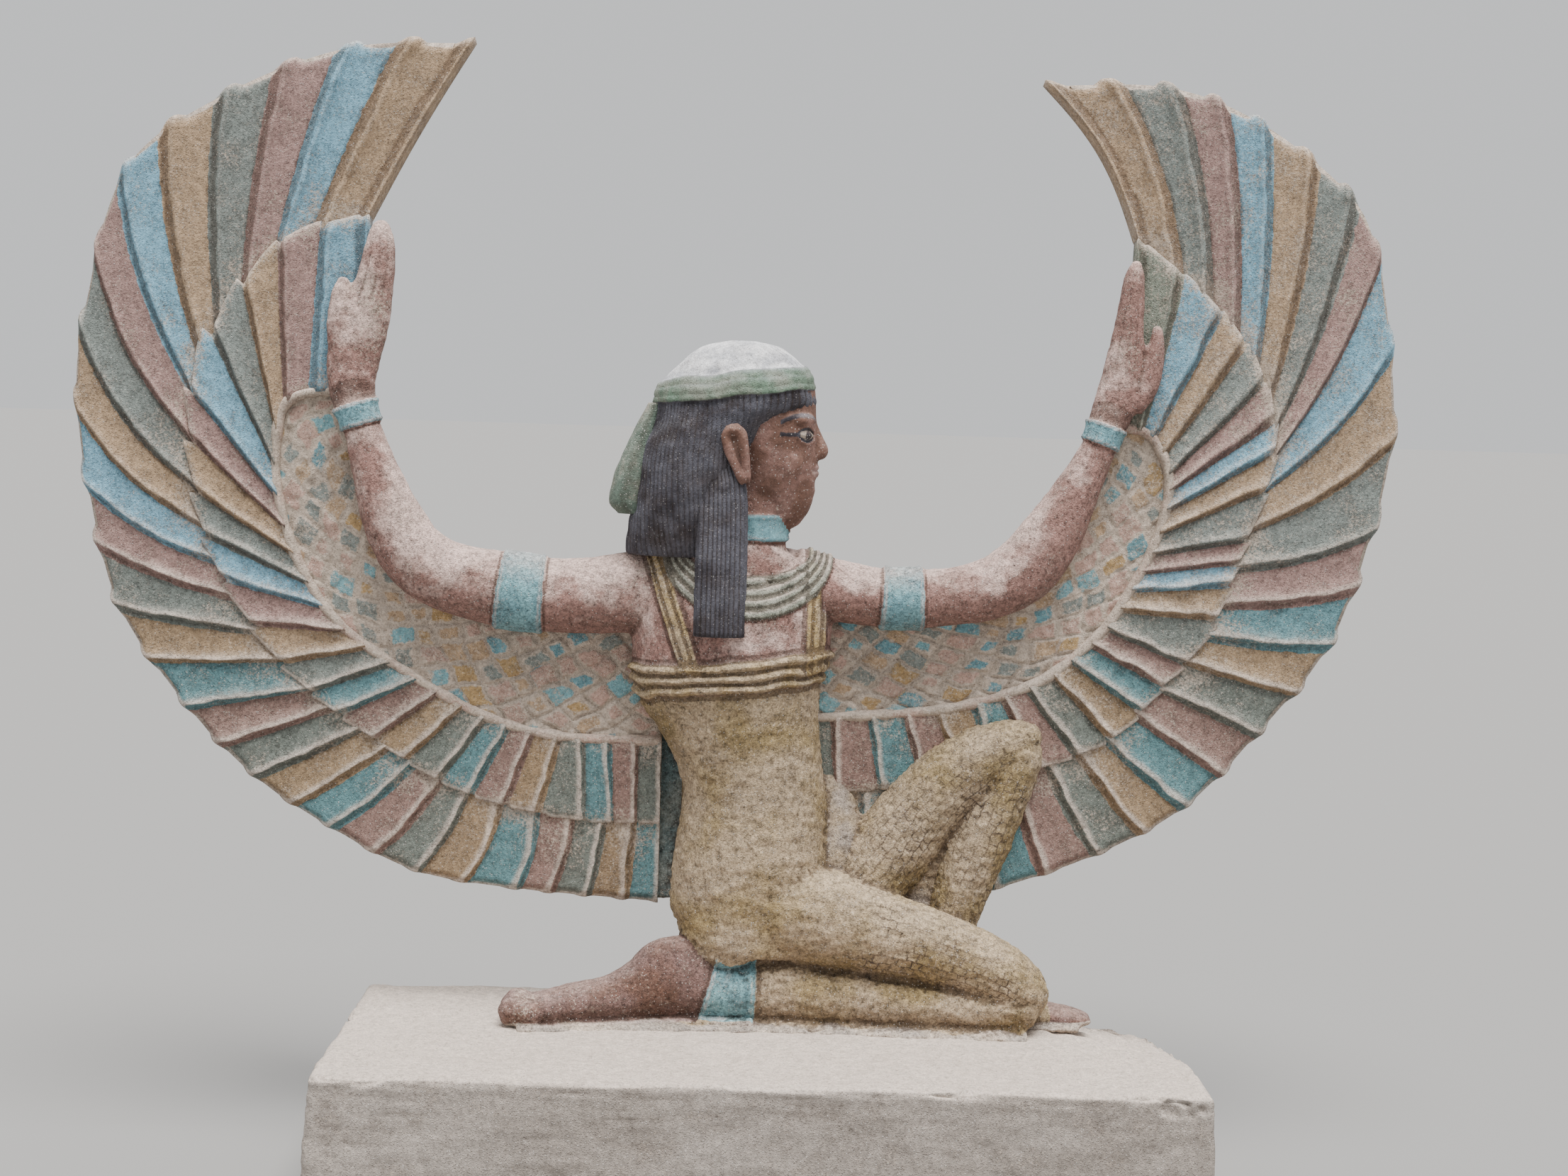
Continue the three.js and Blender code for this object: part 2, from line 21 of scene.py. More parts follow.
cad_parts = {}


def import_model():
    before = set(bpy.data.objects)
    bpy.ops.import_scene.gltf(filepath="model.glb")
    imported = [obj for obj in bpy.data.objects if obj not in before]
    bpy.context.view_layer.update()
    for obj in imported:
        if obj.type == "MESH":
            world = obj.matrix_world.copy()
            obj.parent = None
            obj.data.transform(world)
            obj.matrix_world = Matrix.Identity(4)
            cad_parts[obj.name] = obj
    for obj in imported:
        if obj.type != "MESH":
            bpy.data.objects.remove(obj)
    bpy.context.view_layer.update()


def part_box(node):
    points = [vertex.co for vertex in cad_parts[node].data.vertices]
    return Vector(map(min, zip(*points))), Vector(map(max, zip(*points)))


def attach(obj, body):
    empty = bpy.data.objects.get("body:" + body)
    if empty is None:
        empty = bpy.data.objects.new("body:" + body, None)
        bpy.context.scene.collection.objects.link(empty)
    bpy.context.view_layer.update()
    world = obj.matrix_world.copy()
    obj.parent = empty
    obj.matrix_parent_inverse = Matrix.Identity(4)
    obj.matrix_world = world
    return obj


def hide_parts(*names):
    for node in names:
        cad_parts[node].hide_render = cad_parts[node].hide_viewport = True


LOG = logging.getLogger("statue")
MM = 0.001
NODE = "isis_statue"
SEED = 7

WING_TOP = 183.5
HEAD_Y = -6.0

Array = np.ndarray
Knots = Sequence[Sequence[float]]
Rows = tuple[tuple[float, ...], ...]
Vert = bmesh.types.BMVert
Socket = bpy.types.NodeSocket
Tree = bpy.types.NodeTree
Material = bpy.types.Material
Mesh = bpy.types.Mesh
Piece = bpy.types.Object


def smooth_step(low: float, high: float, value: Array) -> Array:
    """Rises smoothly from 0 to 1.

    Args:
        low: the value where the rise starts.
        high: the value where it ends.
        value: the values to read.

    Returns:
        The height of the step at each value.
    """
    share = np.clip((value - low) / (high - low), 0.0, 1.0)
    return share * share * (3.0 - 2.0 * share)


def hump(distance: Array, width: float) -> Array:
    """A rounded hump of height 1 and about that half width, at each distance from its middle."""
    return np.exp(-((distance / width) ** 2))


def off_whole(value: Array) -> Array:
    """How far each value is from the nearest whole number."""
    return np.abs(value - np.round(value))


def upright(spots: Array, depth: Array | float = 0.0) -> Array:
    """Places in space from their x and z, at a depth y."""
    return np.column_stack([spots[:, 0], np.broadcast_to(depth, len(spots)), spots[:, 1]])


def lengths(rows: Array) -> Array:
    """How long each row of numbers is as a step in space."""
    return np.linalg.norm(rows, axis=1)


def paced(line: Array) -> Array:
    """How far along a line each of its points lies."""
    return np.concatenate([[0.0], np.cumsum(lengths(np.diff(line, axis=0)))])


def ripple(points: Array, size: float, seed: int) -> Array:
    """Soft random unevenness.

    Args:
        points: the places, one a row.
        size: the length of a wave, in the units of the places.
        seed: which pattern.

    Returns:
        A value from about -1 to 1 for each place.
    """
    draw = np.random.default_rng(SEED + seed)
    waves = 24
    ways = draw.normal(size=(waves, 3))
    spread = draw.uniform(0.6, 1.6, (waves, 1))
    ways *= (2.0 * math.pi / size) * spread / lengths(ways)[:, None]
    phases = draw.uniform(0.0, 2.0 * math.pi, waves)
    return np.sin(points @ ways.T + phases).sum(axis=1) / math.sqrt(waves)


class Curve:
    """A smooth curve through knots, read by number.

    The numbers are the knots' own, or count from 0.
    """

    def __init__(self, knots: Knots, numbered: bool = False) -> None:
        """Reads the knots.

        Args:
            knots: the points that the curve passes through.
            numbered: whether each knot starts with its number.
        """
        rows = np.array(knots, float)
        self.at = rows[:, 0] if numbered else np.arange(len(rows), dtype=float)
        values = rows[:, 1:] if numbered else rows
        ends = 2.0 * values[[0, -1]] - values[[1, -2]]
        self.values = np.vstack([ends[:1], values, ends[1:]])

    @property
    def last(self) -> float:
        """The number of the last knot."""
        return float(self.at[-1])

    def __call__(self, number: Array | float) -> Array:
        """Reads the curve.

        Args:
            number: where to read it.

        Returns:
            The curve's values there.
        """
        number = np.clip(np.asarray(number, float), self.at[0], self.at[-1])
        step = np.clip(np.searchsorted(self.at, number, side="right") - 1, 0, len(self.at) - 2)
        t = ((number - self.at[step]) / (self.at[step + 1] - self.at[step]))[..., None]
        before, start, end, after = (self.values[step + k] for k in range(4))
        leave, arrive = (end - before) / 2.0, (after - start) / 2.0
        return (
            (2 * t**3 - 3 * t**2 + 1) * start + (t**3 - 2 * t**2 + t) * leave
            + (3 * t**2 - 2 * t**3) * end + (t**3 - t**2) * arrive
        )


class Cast:
    """A mesh in the making, with a value at each corner for every mark."""

    def __init__(self, *marks: str) -> None:
        """Starts an empty mesh.

        Args:
            marks: the names of the values that each corner carries.
        """
        self.bm = bmesh.new()
        self.marks = {name: self.bm.verts.layers.float.new(name) for name in marks}

    def grid(self, columns: int, rows: int) -> list[Vert]:
        """A flat grid of cells from -0.5 to 0.5 each way, and its corners."""
        made = bmesh.ops.create_grid(self.bm, x_segments=columns, y_segments=rows, size=0.5)
        return made["verts"]

    def tube(self, sides: int, steps: int) -> list[Vert]:
        """Adds a closed cylinder of radius 1 from z -0.5 to 0.5, cut into steps.

        Args:
            sides: how many sides it has.
            steps: how many steps it is cut into.

        Returns:
            Its corners.
        """
        count = len(self.bm.verts)
        made = bmesh.ops.create_cone(
            self.bm, cap_ends=True, cap_tris=False, segments=sides, radius1=1, radius2=1, depth=1
        )
        edges = {e for v in made["verts"] for e in v.link_edges}
        uprights = [e for e in edges if abs(e.verts[0].co.z - e.verts[1].co.z) > 0.5]
        if steps > 1:
            bmesh.ops.subdivide_edges(self.bm, edges=uprights, cuts=steps - 1)
        self.bm.verts.ensure_lookup_table()
        return self.bm.verts[count:]

    def place(self, verts: Sequence[Vert], where: Callable, **marks: object) -> None:
        """Moves corners to where a function puts them, and marks them.

        Args:
            verts: the corners.
            where: gives their new places, and a dict of their marks if it has any, from the old ones.
            marks: values that all of them get.
        """
        found = where(np.array([v.co for v in verts]))
        spots, read = found if isinstance(found, tuple) else (found, {})
        for name, value in {**marks, **read}.items():
            layer = self.marks[name]
            for vert, number in zip(verts, np.broadcast_to(value, len(verts))):
                vert[layer] = float(number)
        for vert, spot in zip(verts, spots):
            vert.co = spot

    def wall(self, verts: Sequence[Vert], back: Callable) -> None:
        """Closes a sheet into a slab: a wall from its rim back to the rim's places there, and a lid.

        Args:
            verts: the sheet's corners.
            back: gives the places of the lid's rim from those of the sheet's rim.
        """
        edges = {e for v in verts for e in v.link_edges if e.is_boundary}
        made = bmesh.ops.extrude_edge_only(self.bm, edges=list(edges))["geom"]
        rim = [g for g in made if isinstance(g, Vert)]
        for vert, spot in zip(rim, back(np.array([v.co for v in rim]))):
            vert.co = spot
        lid = [g for g in made if isinstance(g, bmesh.types.BMEdge)]
        bmesh.ops.edgeloop_fill(self.bm, edges=lid)

    def mesh(self, name: str) -> Mesh:
        """Finishes the mesh, facing outwards.

        Args:
            name: its name.

        Returns:
            The mesh, which can't be changed through this cast any more.
        """
        bmesh.ops.recalc_face_normals(self.bm, faces=self.bm.faces)
        made = bpy.data.meshes.new(name)
        self.bm.to_mesh(made)
        self.bm.free()
        return made


def limb(cast: Cast, sections: Knots, sides: int, fine: int) -> None:
    """A body along a row of sections, each across the middle line.

    Args:
        cast: the mesh that it joins.
        sections: rows of x, y, z, radius in the picture's plane and depth from front to back.
        sides: how many sides it has.
        fine: how many steps there are from section to section.
    """
    curve = Curve(sections)

    def where(corners: Array) -> Array:
        """The places of these corners of the tube."""
        number = (corners[:, 2] + 0.5) * curve.last
        here = curve(number)
        nudge = 1e-3
        forward = curve(number + nudge)[:, :3] - curve(number - nudge)[:, :3]
        across = np.column_stack([forward[:, 2], np.zeros(len(forward)), -forward[:, 0]])
        across /= lengths(across)[:, None]
        spot = here[:, :3] + across * (corners[:, :1] * here[:, 3:4])
        spot[:, 1] += corners[:, 1] * here[:, 4]
        return spot

    cast.place(cast.tube(sides, fine * (len(sections) - 1)), where)


def blob(cast: Cast, at: Sequence[float], size: Sequence[float]) -> None:
    """A rounded lump.

    Args:
        cast: the mesh that it joins.
        at: its middle.
        size: its half sizes along x, y and z.
    """
    made = bmesh.ops.create_icosphere(cast.bm, subdivisions=3, radius=1.0)["verts"]
    bmesh.ops.scale(cast.bm, vec=Vector(size), verts=made)
    bmesh.ops.translate(cast.bm, vec=Vector(at), verts=made)


class Skin:
    """A closed mesh as arrays, so that relief can be worked out for all its corners at once."""

    def __init__(self, mesh: Mesh) -> None:
        """Reads a mesh.

        Args:
            mesh: the mesh to work on.
        """
        self.mesh = mesh
        self.co = np.empty(len(mesh.vertices) * 3)
        mesh.vertices.foreach_get("co", self.co)
        self.co = self.co.reshape(-1, 3)
        self.ends = np.empty(len(mesh.edges) * 2, np.int32)
        mesh.edges.foreach_get("vertices", self.ends)
        self.ends = self.ends.reshape(-1, 2)

    def normals(self) -> Array:
        """Reads which way the corners face as the mesh now lies.

        Returns:
            Their outward directions.
        """
        self.mesh.vertices.foreach_set("co", self.co.ravel())
        self.mesh.update()
        found = np.empty(len(self.co) * 3)
        self.mesh.vertex_normals.foreach_get("vector", found)
        return found.reshape(-1, 3)

    def averaged(self, values: Array, rounds: int) -> Array:
        """Values evened out over neighbouring corners.

        Args:
            values: one row or number for each corner.
            rounds: how many times each corner takes its neighbours' mean.

        Returns:
            The evened values.
        """
        count = np.bincount(self.ends.ravel(), minlength=len(self.co)).astype(float)
        rows = values.reshape(len(values), -1).copy()
        for _ in range(rounds):
            for k in range(rows.shape[1]):
                total = np.bincount(self.ends[:, 0], rows[self.ends[:, 1], k], len(rows))
                total += np.bincount(self.ends[:, 1], rows[self.ends[:, 0], k], len(rows))
                rows[:, k] = 0.5 * rows[:, k] + 0.5 * total / count
        return rows.reshape(values.shape)

    def raise_by(self, relief: Array) -> None:
        """Moves every corner outwards by its relief."""
        self.co = self.co + self.normals() * relief[:, None]

    def hollows(self, rounds: int) -> Array:
        """How far each corner stands out of its neighbourhood, below 0 in a crease."""
        return np.einsum("ij,ij->i", self.co - self.averaged(self.co, rounds), self.normals())

    def mark(self, **marks: Array) -> None:
        """Stores values on the mesh, one for each corner.

        Args:
            marks: the values by the name of the mark.
        """
        for name, values in marks.items():
            layer = self.mesh.attributes.get(name) or self.mesh.attributes.new(name, "FLOAT", "POINT")
            layer.data.foreach_set("value", np.broadcast_to(values, len(self.co)).astype(np.float32))

    def done(self) -> Mesh:
        """Moves the mesh's corners to where they now are.

        Returns:
            The mesh.
        """
        self.mesh.vertices.foreach_set("co", self.co.ravel())
        self.mesh.update()
        return self.mesh


def fused(cast: Cast, name: str, voxel: float, rounds: int) -> Skin:
    """Solids run together as in one casting, with soft fillets between them.

    Args:
        cast: the solids.
        name: the mesh's name.
        voxel: the size of its cells.
        rounds: how often it is smoothed.

    Returns:
        The fused skin.
    """
    rough = bpy.data.objects.new(name, cast.mesh(name))
    bpy.context.scene.collection.objects.link(rough)
    remesh = rough.modifiers.new("fuse", "REMESH")
    remesh.mode = "VOXEL"
    remesh.voxel_size = voxel
    remesh.use_smooth_shade = True
    seen = rough.evaluated_get(bpy.context.evaluated_depsgraph_get())
    whole = bpy.data.meshes.new_from_object(seen)
    bpy.data.objects.remove(rough)
    skin = Skin(whole)
    skin.co = skin.averaged(skin.co, rounds)
    return skin


class Colour(Enum):
    """The paints and stones, as they look in daylight, from 0 to 255, with the pale and dark colours used for
    painted light and shade.
    """

    BLUE = (121, 163, 183)
    MAUVE = (153, 125, 119)
    TAN = (164, 140, 114)
    GREY = (120, 127, 123)
    GREEN_GREY = (124, 130, 118)
    OCHRE = (160, 134, 96)
    PINK = (170, 142, 130)
    SAND = (176, 162, 148)
    STONE = (150, 138, 127)
    # pale dust, also the colour of painted light on top faces
    DUST = (206, 192, 180)
    # dark brown of dirt, also the colour of painted shade in hollows and under things
    DIRT = (72, 60, 52)
    SKIN = (138, 106, 98)
    SKIN_DEEP = (100, 74, 64)
    FOOT = (110, 87, 82)
    # painted highlight on the skin's tops and left side, also the colour of dust on skin
    SKIN_LIGHT = (196, 171, 162)
    DRESS = (161, 143, 119)
    DRESS_OLIVE = (136, 118, 84)
    CAP = (212, 212, 214)
    CAP_SHADE = (140, 143, 150)
    HAIR = (78, 78, 86)
    HEADBAND = (98, 118, 102)
    CHOKER = (103, 142, 151)
    COLLAR = (150, 150, 138)
    STRAP = (160, 138, 98)
    RIBBON = (92, 106, 96)
    TEAL = (116, 156, 163)
    # dust on the dress, also the colour of painted light on its tops
    DRESS_DUST = (186, 167, 139)
    # dark grey-blue of the back plate beside the waist, partly painted shade
    PLATE = (92, 110, 112)
    PLINTH_DARK = (144, 135, 127)
    INK = (46, 43, 48)
    PLINTH = (155, 146, 138)
    FLOOR = (147, 146, 145)

    def linear(self) -> tuple[float, float, float, float]:
        """The colour as the shaders take it."""
        parts = [(c / 255.0 + 0.055) / 1.055 if c > 10 else c / 255.0 / 12.92 for c in self.value]
        return (*(p**2.4 if c > 10 else p for p, c in zip(parts, self.value)), 1.0)


class Kit:
    """Short ways to add nodes to a tree."""

    def __init__(self, tree: Tree) -> None:
        """Takes up a tree.

        Args:
            tree: the tree that the nodes join.
        """
        self.tree = tree

    def add(self, kind: str, inputs: dict | None = None, **settings: object) -> bpy.types.Node:
        """Adds a node.

        Args:
            kind: the end of its type's name, after ShaderNode.
            inputs: what goes into its sockets, a link, a colour or a value, by name or number.
            settings: its own settings.

        Returns:
            The node.
        """
        node = self.tree.nodes.new("ShaderNode" + kind)
        for name, value in settings.items():
            setattr(node, name, value)
        for name, value in (inputs or {}).items():
            if isinstance(value, Socket):
                self.tree.links.new(value, node.inputs[name])
            else:
                node.inputs[name].default_value = value.linear() if isinstance(value, Colour) else value
        return node

    def math(self, operation: str, a: object, b: object) -> Socket:
        """The result of a sum."""
        return self.add("Math", {0: a, 1: b}, operation=operation).outputs[0]

    def plus(self, a: object, b: object) -> Socket:
        """Two numbers added."""
        return self.math("ADD", a, b)

    def minus(self, a: object, b: object) -> Socket:
        """The second number taken from the first."""
        return self.math("SUBTRACT", a, b)

    def times(self, a: object, b: object) -> Socket:
        """Two numbers multiplied."""
        return self.math("MULTIPLY", a, b)

    def step(self, value: object, low: float, high: float, top: float = 1.0) -> Socket:
        """A smooth step.

        Args:
            value: the number that it reads.
            low: where it is 0.
            high: where it is full, which may be below low.
            top: its height.

        Returns:
            The height of the step.
        """
        first, last, start, end = (low, high, 0.0, top) if low < high else (high, low, top, 0.0)
        inputs = {"Value": value, "From Min": first, "From Max": last, "To Min": start, "To Max": end}
        return self.add("MapRange", inputs, interpolation_type="SMOOTHSTEP").outputs[0]

    def mix(self, share: object, a: object, b: object, blend: str = "MIX") -> Socket:
        """Two colours mixed by a share."""
        node = self.add("Mix", {0: share, 6: a, 7: b}, data_type="RGBA", blend_type=blend)
        return node.outputs[2]

    def noise(self, vector: object, size: float, detail: float = 2.0, rough: float = 0.5) -> Socket:
        """Soft noise from 0 to 1, in clouds of about this size in millimetres."""
        inputs = {"Vector": vector, "Scale": 1.0 / (size * MM), "Detail": detail, "Roughness": rough}
        return self.add("TexNoise", inputs).outputs[0]

    def swing(self, noise: object, amount: object) -> Socket:
        """Noise that swings about 0, by half the amount each way."""
        return self.times(self.minus(noise, 0.5), amount)

    def send(self, end: bpy.types.Node, outputs: dict) -> Tree:
        """Links the outputs of a shared effect.

        Args:
            end: the effect's output node.
            outputs: what goes to each output, by name.

        Returns:
            The effect's tree.
        """
        for key, value in outputs.items():
            self.tree.links.new(value, end.inputs[key])
        return self.tree

    def reading(self, name: str) -> Socket:
        """A mark of the mesh as a number."""
        return self.add("Attribute", attribute_name=name).outputs["Fac"]

    def ramp(self, value: object, colours: Sequence[Colour]) -> Socket:
        """Colours in equal steps, by a number from 0 to 1.

        Args:
            value: the number.
            colours: the colours in turn.

        Returns:
            The colour.
        """
        node = self.add("ValToRGB", {0: value})
        ramp = node.color_ramp
        ramp.interpolation = "CONSTANT"
        starts = [n / len(colours) for n in range(len(colours))]
        for at in starts[2:]:
            ramp.elements.new(at)
        for element, at, colour in zip(ramp.elements, starts, colours):
            element.position = at
            element.color = colour.linear()
        return node.outputs[0]


def effect(name: str, inputs: dict[str, object], outputs: dict[str, str]) -> tuple[Kit, dict, bpy.types.Node]:
    """Starts a shared effect as a node group.

    Args:
        name: its name.
        inputs: the default of each input, a number, a colour or None for a vector.
        outputs: the kind of each output, Float or Color.
    """
    tree = bpy.data.node_groups.new(name, "ShaderNodeTree")
    for key, value in inputs.items():
        kind = "Vector" if value is None else "Float" if isinstance(value, float) else "Color"
        socket = tree.interface.new_socket(key, in_out="INPUT", socket_type="NodeSocket" + kind)
        if value is not None:
            socket.default_value = value if isinstance(value, float) else value.linear()
    for key, kind in outputs.items():
        tree.interface.new_socket(key, in_out="OUTPUT", socket_type="NodeSocket" + kind)
    start = tree.nodes.new("NodeGroupInput")
    end = tree.nodes.new("NodeGroupOutput")
    return Kit(tree), {key: start.outputs[key] for key in inputs}, end


def make_sand_grain() -> Tree:
    """Makes the sparkling grains of sand that show everywhere through the thin paint.

    Returns:
        The effect's tree.
    """
    kit, given, end = effect(
        "Sand grain",
        {"Vector": None, "Colour": Colour.SAND, "Contrast": 0.5, "Sparkle": 0.5},
        {"Colour": "Color", "Roughness": "Float", "Height": "Float"},
    )
    grain = kit.noise(given["Vector"], 0.46, 4.0, 0.8)
    lumps = kit.noise(given["Vector"], 1.2, 2.0, 0.6)
    cells = kit.add("TexVoronoi", {"Vector": given["Vector"], "Scale": 1.0 / (0.34 * MM)})
    pick = kit.add("SeparateColor", {0: cells.outputs["Color"]}).outputs[0]
    near = kit.step(cells.outputs["Distance"], 0.48, 0.15)
    bright = kit.times(kit.step(pick, 0.8, 0.98), near)
    dark = kit.times(kit.step(pick, 0.26, 0.04), near)
    swing = kit.swing(grain, given["Contrast"])
    wave = kit.swing(lumps, kit.times(given["Contrast"], 0.5))
    gain = kit.plus(1.2, kit.times(kit.plus(swing, wave), 4.2))
    spread = kit.add("CombineColor", {0: gain, 1: gain, 2: gain}).outputs[0]
    toned = kit.mix(1.0, given["Colour"], spread, "MULTIPLY")
    lit = kit.mix(kit.times(bright, given["Sparkle"]), toned, (0.92, 0.88, 0.84, 1.0))
    specked = kit.mix(kit.times(dark, 0.45), lit, Colour.DIRT)
    rough = kit.minus(0.86, kit.times(bright, 0.45))
    height = kit.plus(kit.times(grain, 0.7), kit.times(near, 0.3))
    return kit.send(end, {"Colour": specked, "Roughness": rough, "Height": height})


def make_thin_paint() -> Tree:
    """Makes paint brushed on by hand: uneven in depth, and rubbed off in places down to the stone.

    Returns:
        The effect's tree.
    """
    kit, given, end = effect(
        "Thin paint",
        {"Vector": None, "Paint": Colour.BLUE, "Stone": Colour.SAND, "Wear": 0.3},
        {"Colour": "Color"},
    )
    clouds = kit.noise(given["Vector"], 6.0, 3.0, 0.6)
    spots = kit.noise(given["Vector"], 0.5, 3.0, 0.7)
    deep = kit.mix(0.28, given["Paint"], Colour.DIRT)
    even = kit.mix(kit.step(clouds, 0.4, 0.72), given["Paint"], deep)
    level = kit.plus(kit.times(clouds, 0.35), kit.times(spots, 0.65))
    bare = kit.step(kit.plus(level, kit.times(given["Wear"], 0.3)), 0.58, 0.74, 0.8)
    return kit.send(end, {"Colour": kit.mix(bare, even, given["Stone"])})


def make_dust_dirt_and_shade() -> Tree:
    """Makes pale dust on what stands proud and painted light on faces that look up; dirt and painted shade in
    what lies deep, and painted shade on faces that look down.

    Returns:
        The effect's tree.
    """
    kit, given, end = effect(
        "Dust and dirt",
        {
            "Vector": None, "Colour": Colour.SAND, "Relief": 0.0, "Upward": 0.0,
            "Dust": Colour.DUST, "Dusty": 0.6, "Dirty": 0.6,
        },
        {"Colour": "Color"},
    )
    ragged = kit.swing(kit.noise(given["Vector"], 0.9, 3.0, 0.7), 0.8)
    level = kit.plus(given["Relief"], kit.times(ragged, 0.55))
    high = kit.step(level, 0.3, 0.9)
    # painted light: faces that look up are paled towards the dust colour, as if lit from above, with some
    # dust
    lying = kit.step(kit.plus(given["Upward"], kit.times(ragged, 0.8)), 0.15, 1.0)
    # painted shade: faces that look down are darkened
    under = kit.step(kit.plus(given["Upward"], kit.times(ragged, 0.5)), -0.05, -0.8, 0.45)
    low = kit.math("MAXIMUM", kit.step(level, -0.05, -0.42), under)
    # the dark of dirt and painted shade, for hollows and for faces that look down
    deep = kit.mix(1.0, given["Colour"], (0.42, 0.38, 0.36, 1.0), "MULTIPLY")
    deep = kit.mix(0.35, deep, Colour.DIRT)
    dusty = kit.times(kit.math("MAXIMUM", high, lying), given["Dusty"])
    dusted_and_lit = kit.mix(dusty, given["Colour"], given["Dust"])
    dirtied_and_shaded = kit.mix(kit.times(low, given["Dirty"]), dusted_and_lit, deep)
    return kit.send(end, {"Colour": dirtied_and_shaded})


@dataclass(frozen=True)
class Finish:
    """How a painted stone surface is weathered, and how strong its painted light and shade are."""

    wear: float = 0.3
    # how much dust lies on proud parts, and how strongly painted light pales the faces that look up
    dusty: float = 0.6
    # how strongly dirt and painted shade darken hollows and faces that look down
    dirty: float = 0.6
    contrast: float = 0.5
    sparkle: float = 0.5
    bump: float = 0.3
    # the pale colours of dust, on stone and on cloth, also used for the painted light on top faces
    dust: Colour = Colour.DUST
    stone: Colour = Colour.SAND
    cloth_dust: Colour = Colour.DRESS_DUST


class Painter:
    """Makes the materials, which share their effects."""

    def __init__(self) -> None:
        """Makes the shared effects."""
        self.grain = make_sand_grain()
        self.paint = make_thin_paint()
        self.weather = make_dust_dirt_and_shade()

    def material(self, name: str, finish: Finish, colour: Callable[[Kit, object], object]) -> Material:
        """A painted and weathered stone, with painted light and shade.

        Args:
            name: its name.
            finish: how it is weathered, with its painted light and shade.
            colour: makes the colour of its paint from a kit and the place on the object.

        Returns:
            The material.
        """
        made = bpy.data.materials.new(name)
        made.use_nodes = True
        made.node_tree.nodes.clear()
        kit = Kit(made.node_tree)
        vector = kit.add("TexCoord").outputs["Object"]
        brushed = kit.add("Group", {
            "Vector": vector, "Paint": colour(kit, vector), "Stone": finish.stone,
            "Wear": kit.plus(kit.reading("bare"), finish.wear),
        }, node_tree=self.paint)
        # dust and dirt, with painted light on top faces and painted shade in hollows and under things; the
        # mark read below adds painted shade on tucked-in parts
        weathered = kit.add("Group", {
            "Vector": vector, "Colour": brushed.outputs["Colour"], "Relief": kit.reading("relief"),
            "Upward": kit.minus(kit.reading("upward"), kit.reading("sheltered")),
            "Dust": kit.mix(kit.reading("cloth"), finish.dust, finish.cloth_dust),
            "Dusty": finish.dusty, "Dirty": finish.dirty,
        }, node_tree=self.weather)
        grained = kit.add("Group", {
            "Vector": vector, "Colour": weathered.outputs["Colour"], "Contrast": finish.contrast,
            "Sparkle": finish.sparkle,
        }, node_tree=self.grain)
        bump = kit.add("Bump", {
            "Height": grained.outputs["Height"], "Distance": finish.bump * MM, "Strength": 1.0,
        })
        shader = kit.add("BsdfPrincipled", {
            "Base Color": grained.outputs["Colour"], "Roughness": grained.outputs["Roughness"],
            "Normal": bump.outputs[0], "Specular IOR Level": 0.3,
        })
        output = kit.add("OutputMaterial")
        kit.tree.links.new(shader.outputs[0], output.inputs[0])
        return made

    def feathers(self, name: str, paints: Sequence[Colour], finish: Finish) -> Material:
        """A row of feathers, each in its paint.

        Args:
            name: the material's name.
            paints: the paint of each feather.
            finish: how they are weathered, with their painted light and shade.

        Returns:
            The material.
        """

        def colour(kit: Kit, vector: object) -> object:
            """The colour of the paint at this place."""
            wobble = kit.swing(kit.noise(vector, 1.6), 0.11)
            place = kit.math("DIVIDE", kit.plus(kit.reading("feather"), wobble), float(len(paints)))
            own = kit.ramp(place, paints)
            # painted shade: the lower feathers, from about the ninth on, are darkened
            lower = kit.step(kit.reading("feather"), 9.0, 14.0, 0.6)
            own = kit.mix(lower, own, (0.62, 0.62, 0.55, 1.0), "MULTIPLY")
            # crests paler: worn paint, sandier on the lower feathers, and a painted highlight along every
            # crest
            sandy = kit.step(kit.reading("feather"), 7.0, 11.0, 0.5)
            pale = kit.mix(kit.plus(sandy, 0.3), own, finish.dust)
            return kit.mix(kit.step(kit.reading("relief"), 0.1, 0.5, 0.8), own, pale)

        return self.material(name, finish, colour)

    def scales(self, name: str, finish: Finish) -> Material:
        """The shoulder band: spots of paint on bare sand.

        Args:
            name: the material's name.
            finish: how it is weathered, with its painted light and shade.

        Returns:
            The material.
        """
        paints = (
            Colour.CHOKER, Colour.OCHRE, Colour.PINK, Colour.TAN, Colour.GREY, Colour.TEAL, Colour.PINK,
        )

        def colour(kit: Kit, vector: object) -> object:
            """The colour of the paint at this place."""
            own = kit.ramp(kit.reading("pick"), paints)
            edge = kit.swing(kit.noise(vector, 1.3, 3.0), 2.2)
            inside = kit.step(kit.plus(kit.reading("spot"), edge), -0.1, 0.35)
            return kit.mix(inside, finish.stone, own)

        return self.material(name, finish, colour)

    def layered(
        self, name: str, ground: tuple[Colour, Colour, float], layers: Sequence[tuple[str, Colour, Colour]],
        finish: Finish,
    ) -> Material:
        """One paint that drifts into another, and painted parts over them with edges drawn by hand.

        Args:
            name: the material's name.
            ground: the two paints, and the size of their clouds in millimetres.
            layers: for each part the mark that is above 0 inside it, and its two paints.
            finish: how it is weathered, with its painted light and shade.

        Returns:
            The material.
        """

